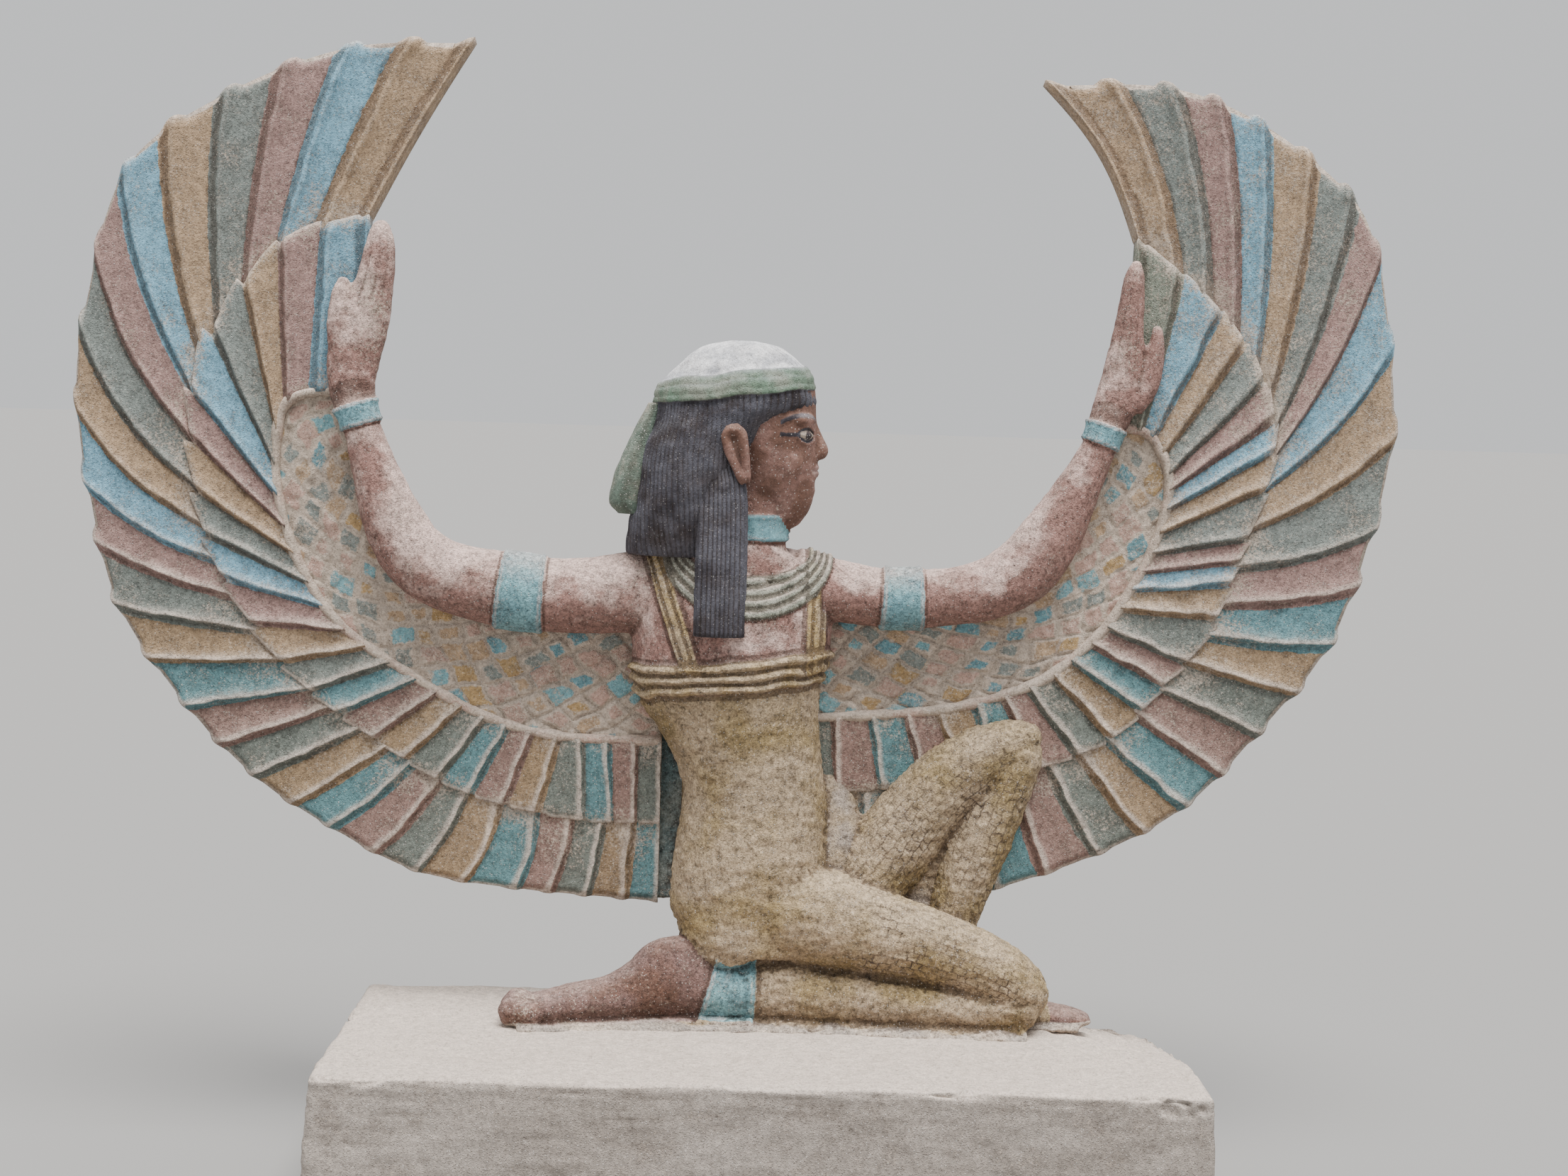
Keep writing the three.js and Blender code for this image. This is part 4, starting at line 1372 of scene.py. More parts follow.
def follow(sections: Knots, points: Array, margin: float = 3.0) -> Along:
    """Finds points along a limb.

    Args:
        sections: the limb's sections.
        points: the points.
        margin: how far outside the limb a point may be.

    Returns:
        Its section number, where it is across and in depth from -1 to 1, how far out it is, where 1 is
        the surface, and its length along the limb in millimetres, with the mean length of a section.
    """
    curve = Curve(sections)
    numbers = np.linspace(0.0, curve.last, 30 * len(sections))
    line = curve(numbers)
    forward = np.gradient(line[:, :3], axis=0)
    across = np.column_stack([forward[:, 2], -forward[:, 0]])
    across /= lengths(across)[:, None]
    run = paced(line[:, :3])
    fat = line[:, 3:4] + margin
    spread = np.column_stack([fat[:, 0], line[:, 4] + margin, fat[:, 0]])
    low, high = (line[:, :3] - spread).min(axis=0), (line[:, :3] + spread).max(axis=0)
    near = np.flatnonzero(((points > low) & (points < high)).all(axis=1))
    out = {key: np.zeros(len(points)) for key in ("number", "side", "deep", "length")}
    reach = np.full(len(points), FAR)
    for chunk in np.array_split(near, max(1, len(near) // 4000)):
        own = points[chunk]
        gaps = (own[:, None, 0] - line[None, :, 0]) ** 2 + (own[:, None, 2] - line[None, :, 2]) ** 2
        best = gaps.argmin(axis=1)
        offset = own[:, [0, 2]] - line[best][:, [0, 2]]
        side = (offset * across[best]).sum(axis=1) / line[best, 3]
        past = (offset * across[best][:, ::-1] * [-1.0, 1.0]).sum(axis=1) / line[best, 3]
        deep = (own[:, 1] - line[best, 1]) / line[best, 4]
        out["number"][chunk], out["side"][chunk], out["deep"][chunk] = numbers[best], side, deep
        out["length"][chunk] = run[best]
        reach[chunk] = np.sqrt(side**2 + deep**2 + past**2)
    return Along(reach=reach, pace=float(run[-1] / curve.last), **out)


@dataclass(frozen=True)
class Jewel:
    """A band round a limb, from one section number to another."""

    sections: Knots
    start: float
    end: float


ARMS = (LEFT_ARM, RIGHT_ARM, LEFT_HAND, RIGHT_HAND, LEFT_THUMB, RIGHT_THUMB)
LEGS = (NEAR_THIGH, FAR_THIGH, NEAR_SHIN, FAR_SHIN)


@dataclass
class Body:
    """The body in its dress, with arms, hands and legs, and what is worn on it."""

    cell: float = 0.47
    sides: int = 36
    fine: int = 6
    rounds: int = 5
    seed: int = 50
    collar_middle: tuple[float, float] = (2.6, 88.4)
    collar_outer: tuple[float, float] = (15.9, 12.0)
    collar_inner: tuple[float, float] = (11.2, 4.0)
    collar_wide: float = 6.6
    collar_rings: int = 4
    collar_lowest: float = 70.0
    collar_neck: float = 86.0
    front: float = 3.0
    strap_width: float = 3.6
    waist_cut: float = 62.6
    net_pitch: tuple[float, float] = (2.3, 1.9)
    net_depth: float = 0.26
    net_around: tuple[float, ...] = (8.0, 7.5, 5.0, 5.6)
    net_starts: tuple[float, ...] = (18.0, 8.0, FAR, 0.0)
    back_size: tuple[float, float, float] = (28.0, 8.6, 64.0)
    back_middle: tuple[float, float, float] = (0.0, 5.0, 52.8)
    dress_top: float = 64.0
    chest_half: float = 20.0
    armpit: float = 66.0
    panel: tuple[float, float] = (19.0, 62.0)
    far_foot_from: float = 62.0
    foot_top: float = 17.0
    ankle: float = 4.9
    shin_top: float = 11.0
    kerb_height: float = 0.8
    band_middle: float = 65.7
    band_half: float = 3.1
    band_tilt: float = 0.1
    jewels: tuple[Jewel, ...] = (
        Jewel(LEFT_ARM, 2.97, 3.98), Jewel(RIGHT_ARM, 2.05, 3.1), Jewel(LEFT_ARM, 10.2, 10.95),
        Jewel(RIGHT_ARM, 10.1, 10.95), Jewel(NEAR_SHIN, 4.45, 5.3), Jewel(NECK, *CHOKER_SPAN),
    )
    straps: Rows = ((-15.7, 90, -8.0, 68), (15.6, 89, 15.2, 68))
    lumps: Rows = (
        (-1.6, -15.5, 24.9, 1.1, 0.8), (12, -17, 58, 0.7, 0.4), (18, -10, 72.9, 0.8, 0.5),
        (16.9, -16.5, 1.2, 1.1, -1.3), (18.6, -16.5, 1.0, 0.7, -1.0), (55.5, -17.5, 1.6, 0.9, -1.3),
        (-40, -18, 3.8, 1.5, 0.7), (-36.6, -19.4, 2.9, 1.5, 0.7), (-40, -18.6, 1.1, 1.3, 0.5),
        (-38.3, -18.6, 2.4, 0.7, -0.9), (-35, -19, 1.2, 0.6, -0.7), (52.5, -18, 6.8, 0.6, -0.7),
        (1.0, -17.5, 9.6, 0.8, -1.0), (-35.4, -16.5, 4.2, 0.8, -0.7),
    )
    fillings: tuple[tuple[tuple[float, ...], tuple[float, ...]], ...] = (
        ((6.0, -6.0, 11.5), (7.0, 5.0, 3.6)), ((9.8, -5.6, 81.3), (5.0, 7.6, 5.4)),
        ((9.6, -2.6, 86.0), (4.4, 4.6, 3.4)), ((9.0, -9.6, 81.6), (4.0, 4.0, 4.6)),
    )
    # pale spots worn to the stone on the palms, the left shoulder and the near toe, which also stand for
    # painted highlights there
    rubbed: Rows = (
        (-69.6, -6, 131, 4.5), (73, -6, 127, 3.2), (-15, -12, 86, 4), (-37, -18, 4, 3),
    )

    def _cast(self) -> Skin:
        """Runs the limbs together.

        Returns:
            The bare body.
        """
        cast = Cast()
        for sections in (
            TORSO, LEFT_ARM, RIGHT_ARM, LEFT_HAND, LEFT_THUMB, RIGHT_HAND, RIGHT_THUMB, NEAR_THIGH,
            NEAR_SHIN, FAR_THIGH, FAR_SHIN, FAR_FOOT, BACK_SWELL, HIP_WEB, KNEE_WEB, NECK,
        ):
            limb(cast, sections, self.sides, self.fine)
        for sections in STONE_WEBS:
            limb(cast, sections, 24, 3)
        for at, size in (*TOES, *self.fillings):
            blob(cast, at, size)
        plate = bmesh.ops.create_cube(cast.bm, size=1.0)["verts"]
        bmesh.ops.scale(cast.bm, vec=Vector(self.back_size), verts=plate)
        bmesh.ops.translate(cast.bm, vec=Vector(self.back_middle), verts=plate)
        return fused(cast, "body", self.cell, self.rounds)

    def _hands(self, points: Array) -> Array:
        """Draws the lines between the fingers.

        Args:
            points: the corners.

        Returns:
            The relief of the fingers.
        """
        relief = np.zeros(len(points))
        for sections, start, lines in (
            (LEFT_HAND, 3.3, (-0.42, 0.12, 0.6)), (RIGHT_HAND, 2.6, (-0.55, -0.05, 0.45)),
        ):
            at = follow(sections, points)
            on = (at.reach < 1.5) & (points[:, 1] < -3.0)
            for line in lines:
                half = np.interp(at.number, np.arange(len(sections)), [section[3] for section in sections])
                off = (at.side - line) * half
                relief -= on * 0.16 * hump(off, 0.5) * smooth_step(start - 0.6, start + 0.5, at.number)
        return relief

    def _collar(self, p: Array) -> tuple[Array, Array]:
        """Lays out the collar.

        Args:
            p: the corners.

        Returns:
            How far each corner is inside the collar, and how far it is from a line between two rings.
        """
        x, y, z = p.T
        off = np.column_stack([x, z]) - self.collar_middle
        rims = (self.collar_outer, self.collar_inner)
        outside, within = (np.maximum(lengths(off / rim), 1e-3) for rim in rims)
        share = (1.0 / outside - 1.0) / (1.0 / outside - 1.0 / within)
        inside = np.minimum(share, 1.0 - share) * self.collar_wide
        off_neck = np.where(z > self.collar_neck, (follow(NECK, p).reach - 1.08) * 8.0, FAR)
        on = (y < self.front) & (z > self.collar_lowest)
        ring = off_whole(share * self.collar_rings) * self.collar_wide / self.collar_rings
        return np.where(on, np.minimum(inside, off_neck), -FAR), ring

    def _strap(self, p: Array, torso: Along) -> Array:
        """Lays out the straps of the dress.

        Args:
            p: the corners.
            torso: where they lie along the torso.

        Returns:
            How far each corner is inside a strap.
        """
        x, y, z = p.T
        strap = np.full(len(p), -FAR)
        for x0, z0, x1, z1 in self.straps:
            way = np.array([x1 - x0, z1 - z0])
            way = way / np.linalg.norm(way)
            off = (x - x0) * way[1] - (z - z0) * way[0]
            past = (x - x0) * way[0] + (z - z0) * way[1]
            on = (y < self.front) & (past > -3.0) & (z > self.band_middle) & (torso.reach < 1.5)
            strap = np.maximum(strap, np.where(on, 0.5 * self.strap_width - np.abs(off), -FAR))
        return strap

    def _jewels(self, p: Array) -> tuple[Array, Array]:
        """Lays out the bands round the limbs.

        Args:
            p: the corners.

        Returns:
            How far each corner is inside a band, and the bands' relief.
        """
        jewel, relief = np.full(len(p), -FAR), np.full(len(p), -FAR)
        for piece in self.jewels:
            at = follow(piece.sections, p)
            inside = np.minimum(at.number - piece.start, piece.end - at.number) * at.pace
            inside = np.where(at.reach < (NECK_REACH if piece.sections is NECK else 1.45), inside, -FAR)
            jewel = np.maximum(jewel, inside)
            rims = 0.2 * hump(inside - 0.45, 0.4)
            relief = np.maximum(relief, smooth_step(-0.3, 0.3, inside) * 0.5 + (inside > -0.5) * rims)
        return jewel, relief

    def _net(self, p: Array, legs: Sequence[Along], closest: Array) -> tuple[Array, ...]:
        """Lays out the net that is woven into the dress on the legs.

        Args:
            p: the corners.
            legs: where they lie along each leg's parts.
            closest: how far they are from the nearest of them.

        Returns:
            The height of the net's lines, their numbers round and along the leg, and how clear they are.
        """
        net, rows, columns, woven = (np.zeros(len(p)) for _ in range(4))
        long_pitch, cross_pitch = self.net_pitch
        for leg, size, start in zip(legs, self.net_around, self.net_starts):
            on = (leg.reach < 1.3) & (leg.reach <= closest + 1e-9)
            row = size * np.arctan2(leg.side, -leg.deep) / cross_pitch
            off_row = off_whole(row) * cross_pitch
            along = leg.length / long_pitch
            column = along + 0.5 * (np.floor(row + 0.5) % 2) + 0.12 * ripple(p, 6.0, self.seed + 4)
            off_column = off_whole(column) * long_pitch
            lines = hump(off_row + 0.1 * ripple(p, 3.0, self.seed + 5), 0.32)
            lines = np.maximum(lines, 0.9 * hump(off_column, 0.32))
            grown = smooth_step(start, start + 10.0, leg.length)
            net = np.where(on, lines * grown, net)
            rows, columns = np.where(on, row, rows), np.where(on, along, columns)
            woven = np.where(on, grown, woven)
        return net, rows, columns, woven

    def build(self, place: Matrix, material: Material) -> list[Piece]:
        """Makes the body.

        Args:
            place: where the figure stands.
            material: its material.

        Returns:
            Its pieces.
        """
        skin = self._cast()
        p = skin.co.copy()
        x, y, z = p.T
        torso = follow(TORSO, p)
        arms = [follow(sections, p) for sections in ARMS]
        on_torso = torso.reach < np.minimum.reduce([arm.reach for arm in arms])

        collar, ring = self._collar(p)
        rings = hump(ring, 0.4) * (collar > 0.3)
        relief = smooth_step(-0.25, 0.4, collar) * (0.75 - 0.55 * rings)
        strap = self._strap(p, torso)
        groove = 0.3 * hump(strap - 0.95, 0.3)
        relief = np.maximum(relief, smooth_step(-0.2, 0.3, strap) * (0.6 - groove) * (collar < 0.2))
        level = z - self.band_middle - self.band_tilt * x + 0.3 * ripple(p, 10.0, self.seed + 9)
        band = np.where(on_torso & (y < 5.0), self.band_half - np.abs(level), -FAR)
        folds = 0.5 + 0.5 * np.cos(2.0 * math.pi * level / (2.0 * self.band_half / 3.0))
        relief = np.maximum(relief, smooth_step(-0.35, 0.3, band) * (0.2 + 0.95 * folds))
        jewel, rims = self._jewels(p)
        relief = np.maximum(relief, rims)

        shin = follow(NEAR_SHIN, p)
        foot = (shin.number - self.ankle) * shin.pace
        on_foot = (shin.reach < np.minimum(torso.reach * 1.05, 1.4)) & (z < self.foot_top)
        on_far_foot = (follow(FAR_FOOT, p).reach < 1.3) & (x > self.far_foot_from) & (y > -9.5)
        dress = np.where(on_torso | (z < self.dress_top), -self.band_half - level, -FAR)
        dress = np.where((np.abs(x) > self.chest_half) & (z > self.armpit), -FAR, dress)
        dress = np.where(on_foot, np.minimum(dress, -foot), dress)
        dress = np.where(on_far_foot, -1.0, dress)
        sole = np.maximum(np.where(on_foot, foot - 0.9, -FAR), np.where(on_far_foot, 1.0, -FAR))

        fingers = self._hands(p)
        relief = relief + fingers
        for dx, dy, dz, radius, rise in self.lumps:
            relief = relief + rise * hump(lengths(p - [dx, dy, dz]), radius)
        legs = [follow(sections, p) for sections in LEGS]
        closest = np.minimum.reduce([leg.reach for leg in legs])
        low, high = self.panel
        behind = (np.abs(x) > 9.0) & (z > low) & (z < high) & (torso.reach > 1.06) & (y > -0.5)
        between = (follow(HIP_WEB, p).reach < 1.25) & (torso.reach > 1.03) & (z > 20.0)
        between |= follow(KNEE_WEB, p).reach < 1.2
        # the back plate beside the waist is painted dark grey-blue, partly as painted shade in the gap
        # between body and wing
        plate = np.where(behind & (closest > 1.05) & (y < 5.0), 1.0, -1.0)
        kerb = self.kerb_height - z + 0.25 * ripple(p, 7.0, self.seed + 3)
        web = np.where(between & (closest > 1.04) & (y > -9.0), 1.0, -1.0)
        net, rows, columns, woven = self._net(p, legs, closest)
        cloth = smooth_step(-0.5, 0.5, dress)
        net = net * cloth * (0.55 + 0.45 * ripple(p, 11.0, self.seed + 6))
        crust = 0.1 * ripple(p, 2.0, self.seed) + 0.09 * ripple(p * [0.7, 1.0, 1.6], 4.4, self.seed + 1)
        crust = crust + 0.05 * ripple(p, 1.3, self.seed + 7)
        relief = relief + cloth * crust - self.net_depth * net
        bare_skin = 0.06 * ripple(p, 4.0, self.seed + 2) + 0.03 * ripple(p, 1.8, self.seed + 8)
        relief = relief + (1.0 - cloth) * bare_skin
        hollow = skin.hollows(40)
        skin.raise_by(relief)
        fine = skin.hollows(3)
        # painted shade: dark lines in the grooves between the collar's rings, beside the straps, by the band,
        # at the jewels' edges and between the fingers; paler on the band's folds and the jewels' rims
        drawn = -0.9 * (collar > -0.2) * hump(ring, 0.42)
        drawn = drawn - 0.8 * (strap > -0.2) * (collar < 0.2) * hump(strap - 0.95, 0.35)
        drawn = drawn - 0.8 * hump(strap + 0.3, 0.4)
        drawn = drawn + (band > -0.3) * 0.55 * (folds - 0.7) - 0.8 * hump(band + 0.5, 0.45)
        drawn = drawn - 0.5 * hump(jewel + 0.35, 0.35) + 0.6 * hump(jewel - 0.45, 0.35) + 2.4 * fingers
        drawn = drawn + cloth * 0.4 * crust
        stretched = [1.0, 3.0, 1.5]
        bare = sum(hump(lengths((p - at) / stretched), radius) for *at, radius in self.rubbed)
        on_shin = cloth * (legs[2].reach <= closest + 1e-9) * (z < self.shin_top)
        dressed = np.maximum.reduce([cloth, smooth_step(-0.4, 0.2, band), smooth_step(-0.4, 0.2, strap)])
        # relief: hollows and the drawn grooves are darker, painted shade, and proud parts paler; the soles,
        # the low shins and the web between the legs get painted shade from their own mark
        skin.mark(
            cloth=dressed, bare=0.32 * bare,
            sheltered=0.32 * (sole > 0.0) + 0.55 * on_shin + 0.4 * (web > 0.0),
            relief=np.clip(0.8 * hollow, -0.8, 0.5) + 1.6 * fine + drawn - 0.2 * on_shin,
            woven=woven * cloth * (0.75 + 0.3 * ripple(p, 9.0, self.seed + 6)), row=rows, column=columns,
            collar=collar, strap=strap, band=band, jewel=jewel, dress=dress, plate=plate, kerb=kerb, web=web,
            sole=sole,
        )
        return self._halves(skin.done(), place, material)

    def _halves(self, mesh: Mesh, place: Matrix, material: Material) -> list[Piece]:
        """Parts the body under the dress's top band, so that neither piece is too fine to carry.

        Args:
            mesh: the whole body.
            place: where the figure stands.
            material: its material.

        Returns:
            The upper and the lower piece.
        """
        made = []
        level = Vector((0.0, 0.0, self.waist_cut))
        upwards = Vector((-self.band_tilt, 0.0, 1.0)).normalized()
        for name, upper in (("torso_and_arms", True), ("hips_and_legs", False)):
            bm = bmesh.new()
            bm.from_mesh(mesh)
            cut = bmesh.ops.bisect_plane(
                bm, geom=[*bm.verts, *bm.edges, *bm.faces], plane_co=level, plane_no=upwards,
                clear_inner=upper, clear_outer=not upper,
            )["geom_cut"]
            bmesh.ops.holes_fill(bm, edges=[g for g in cut if isinstance(g, bmesh.types.BMEdge)], sides=0)
            half = bpy.data.meshes.new(name)
            bm.to_mesh(half)
            bm.free()
            piece = publish(half, name, [material], place)
            half.set_sharp_from_angle(angle=math.radians(65.0))
            made.append(piece)
        bpy.data.meshes.remove(mesh)
        return made


@dataclass
class Head:
    """The head: face with neck and ears, wig with its band, the tail of the band and the lappet."""

    cell: float = 0.36
    wig_sides: int = 420
    wig_steps: int = 104
    wig_crown: tuple[float, float] = (24.0, 2.2)
    lappet_strands: int = 18
    hanging_sides: int = 216
    strands: int = 78
    strand_depth: float = 0.3
    band_low: float = 117.7
    band_high: float = 122.0
    band_tilt: float = 0.125
    band_proud: float = 0.7
    ear_out: float = 11.4
    eye_turn: float = 0.66
    eye_level: float = 110.8
    eye_half: float = 2.7
    eye_open: float = 1.15
    mouth: float = 104.2
    choker_top: float = 97.0
    face_radius: float = 9.4
    face_middle: float = 5.4
    seed: int = 80

    def _ear(self, side: float) -> Knots:
        """The sections of the ear on one side."""
        return [(x, y + side * self.ear_out, *rest) for x, y, *rest in EAR]

    def _face(self, place: Matrix, material: Material) -> Piece:
        """Makes the face, neck and ears.

        Args:
            place: where the figure stands.
            material: its material.

        Returns:
            The face.
        """
        cast = Cast()
        for sections in (FACE, NOSE, LIPS, NECK[1:]):
            limb(cast, sections, 40, 8)
        for side in (-1.0, 1.0):
            limb(cast, self._ear(side), 24, 6)
            blob(cast, (9.0, HEAD_Y + side * 5.5, 105.6), (3.5, 3.0, 3.6))
            blob(cast, (10.0, HEAD_Y + side * 4.4, 113.4), (4.2, 4.2, 1.4))
            blob(cast, (14.5, HEAD_Y + side * 1.4, 107.1), (1.2, 0.9, 0.9))
        blob(cast, (12.6, HEAD_Y, 100.3), (2.2, 3.0, 2.0))
        skin = fused(cast, "face", self.cell, 5)
        p = skin.co.copy()
        x, y, z = p.T
        turn = np.arctan2(np.abs(y - HEAD_Y) / 9.6, (x - self.face_middle) / 9.3)
        a = (turn - self.eye_turn) * self.face_radius
        b = z - self.eye_level - 0.06 * a
        on = (x > 3.0) & (np.abs(y - HEAD_Y) > 2.0)
        lid = self.eye_open * (1.0 - (a / self.eye_half) ** 2)
        eye = np.where(on & (np.abs(a) < self.eye_half), lid - np.abs(b), -1.0)
        off_corner = np.hypot(np.maximum(np.abs(a) - self.eye_half, 0.0), b)
        eye = np.maximum(eye, -np.maximum(off_corner, -eye) * on - FAR * ~on)
        ball = 0.5 * smooth_step(-0.1, 1.2, eye) - 0.25 * hump(eye, 0.3) + 0.3 * hump(eye + 0.55, 0.35)
        tail = np.where(on & (a > self.eye_half - 0.6) & (a < 6.4), 0.42 - np.abs(b + 0.05 * a), -1.0)
        arch = b - 3.5 + 0.05 * (a - 0.5) ** 2
        brow = np.where(on & (a > -3.0) & (a < 6.2), 0.5 - np.abs(arch), -1.0)
        ears = [follow(self._ear(side), p) for side in (-1.0, 1.0)]
        inner, outer = (np.where(ears[0].reach < ears[1].reach, getattr(ears[0], key), getattr(ears[1], key))
                        for key in ("side", "number"))
        by_ear = (np.minimum(ears[0].reach, ears[1].reach) < 1.4) & (np.abs(y - HEAD_Y) > self.ear_out)
        bowl = (1.0 - smooth_step(0.3, 0.62, np.abs(inner))) * smooth_step(0.9, 2.0, outer)
        bowl = by_ear * bowl * (1.0 - smooth_step(3.6, 4.3, outer))
        shell = -1.3 * bowl + 0.25 * by_ear * hump(np.abs(inner) - 0.8, 0.16)
        parting = -0.4 * hump(z - self.mouth, 0.32) * (x > 12.2) * (np.abs(y - HEAD_Y) < 3.2)
        relief = np.where(on, ball, 0.0) + 0.22 * smooth_step(-0.3, 0.2, brow) + shell + parting
        relief = relief + 0.12 * smooth_step(-0.2, 0.2, tail) + 0.04 * ripple(p, 3.0, self.seed)
        at = follow(NECK, p)
        choker = np.minimum(at.number - CHOKER_SPAN[0], CHOKER_SPAN[1] - at.number) * at.pace
        choker = np.where((at.reach < NECK_REACH) & (z < self.choker_top), choker, -FAR)
        relief = relief + 0.5 * smooth_step(-0.3, 0.3, choker) + 0.2 * hump(choker - 0.4, 0.35)
        hollow = skin.hollows(25)
        skin.raise_by(relief)
        iris = 0.95 - np.hypot(a + 0.1, b)
        contour = np.maximum.reduce([0.34 - np.abs(eye), tail, brow])
        lips = 1.0 - np.hypot((z - self.mouth) / 1.5, (y - HEAD_Y) / 3.3)
        # relief: hollows darker, painted shade, deepest in the ears' bowls, and proud parts paler
        skin.mark(
            relief=np.clip(1.2 * hollow, -0.7, 0.5) + 1.4 * skin.hollows(3) - 0.5 * bowl,
            white=eye, iris=np.where(eye > 0, iris, -1.0), contour=contour, choker=choker,
            lips=np.where(x > 12.4, 1.6 * lips, -1.0),
        )
        return publish(skin.done(), "face", [material], place)

    def _hair(self, place: Matrix, material: Material) -> Piece:
        """Makes the wig, with the headband drawn round it.

        Args:
            place: where the figure stands.
            material: its material.

        Returns:
            The wig.
        """
        cast = Cast("relief", "headband", "crown", "cloth")
        verts = cast.tube(self.wig_sides, self.wig_steps)
        curve = Curve(WIG)

        def where(corners: Array) -> tuple[Array, dict]:
            """The places of these corners of the tube, and their marks."""
            share = (corners[:, 2] + 0.5) * self.wig_steps
            steps, reached = self.wig_crown
            number = np.interp(share, [0.0, steps, self.wig_steps], [0.0, reached, curve.last])
            here = curve(number)
            angle = np.arctan2(corners[:, 1], corners[:, 0])
            bare = here[:, :3].copy()
            bare[:, 0] += corners[:, 0] * here[:, 3]
            bare[:, 1] += corners[:, 1] * here[:, 4]
            height = bare[:, 2] - self.band_tilt * bare[:, 0]
            height = height + 0.22 * ripple(bare, 12.0, self.seed + 5)
            half = 0.5 * (self.band_high - self.band_low)
            headband = half - np.abs(height - 0.5 * (self.band_high + self.band_low))
            bearing = np.arctan2((bare[:, 1] - HEAD_Y) / 12.6, (bare[:, 0] + 5.6) / 11.4)
            locks = bearing + 0.012 * ripple(bare * [1.0, 1.0, 0.35], 7.0, self.seed + 1)
            strand = np.abs(np.sin(0.5 * self.strands * locks)) ** 0.8
            crown = smooth_step(self.band_high - 0.3, self.band_high + 0.3, height)
            deep = self.strand_depth * (1.0 - 0.75 * crown) * smooth_step(0.4, 1.2, number)
            under = 1.0 - smooth_step(-0.3, 0.3, headband)
            lines = 0.25 * hump(headband - 1.25, 0.28) + 0.18 * hump(headband - 0.5, 0.22)
            rise = under * deep * (strand - 0.75) + (1.0 - under) * (self.band_proud - lines)
            rise = rise + 0.08 * ripple(bare, 4.0, self.seed + 2)
            rise = rise + 0.18 * crown * ripple(bare, 9.0, self.seed + 3)
            spot = bare.copy()
            rounding = smooth_step(0.0, 1.0, number)
            spot[:, 0] += np.cos(angle) * rise * rounding
            spot[:, 1] += np.sin(angle) * rise * rounding
            # relief: the grooves between strands and along the headband's lines darker, painted shade, and
            # the strands' crests paler
            relief = under * (strand - 0.62) * 1.1 * (1.0 - 0.5 * crown)
            marks = {
                "relief": relief + (1.0 - under) * (0.25 - 2.0 * lines),
                "headband": headband, "crown": height - self.band_high, "cloth": crown,
            }
            return spot, marks

        cast.place(verts, where)
        return publish(cast.mesh("wig"), "wig", [material], place)

    def _hanging(self, place: Matrix, hair: Material, ribbon: Material) -> list[Piece]:
        """Makes the lappet of the wig in front of the shoulder, and the tail of the headband behind.

        Args:
            place: where the figure stands.
            hair: the material of the lappet.
            ribbon: that of the tail.

        Returns:
            Both pieces.
        """
        made = []
        for name, sections, strands, fine, material in (
            ("lappet", LAPPET, self.lappet_strands, 26, hair), ("headband_tail", RIBBON, 0, 12, ribbon),
        ):
            cast = Cast("relief", "headband", "crown")
            steps = fine * (len(sections) - 1)
            verts = cast.tube(self.hanging_sides, steps)
            curve = Curve(sections)

            def where(corners: Array) -> tuple[Array, dict]:
                """The places of these corners of the tube, and their marks."""
                number = (corners[:, 2] + 0.5) * curve.last
                here = curve(number)
                angle = np.arctan2(corners[:, 1], corners[:, 0])
                spot = here[:, :3].copy()
                square = 1.0 / np.maximum(np.abs(corners[:, 0]), np.abs(corners[:, 1])) ** 0.55
                # relief: the grooves between strands and the hollows of the folds darker, painted shade
                if strands:
                    groove = np.abs(np.sin(strands * angle)) ** 0.7 - 0.75
                    rise = self.strand_depth * groove
                    relief = (groove + 0.13) * 1.1
                else:
                    fold = np.cos(3.0 * angle + 2.0)
                    rise = 0.25 * fold
                    relief = 0.3 * fold
                    square = 1.0
                rise = rise + 0.06 * ripple(spot + corners * 3.0, 3.0, self.seed + 4)
                spot[:, 0] += corners[:, 0] * here[:, 3] * np.minimum(square, 1.25) + np.cos(angle) * rise
                spot[:, 1] += corners[:, 1] * here[:, 4] * np.minimum(square, 1.1) + np.sin(angle) * rise
                return spot, {"relief": relief, "headband": -FAR, "crown": -FAR}

            cast.place(verts, where)
            made.append(publish(cast.mesh(name), name, [material], place))
        return made

    def build(self, place: Matrix, skin: Material, hair: Material, ribbon: Material) -> list[Piece]:
        """Makes the head.

        Args:
            place: where the figure stands.
            skin: the material of the face.
            hair: that of the wig.
            ribbon: that of the headband's tail.

        Returns:
            Its pieces.
        """
        return [self._face(place, skin), self._hair(place, hair), *self._hanging(place, hair, ribbon)]


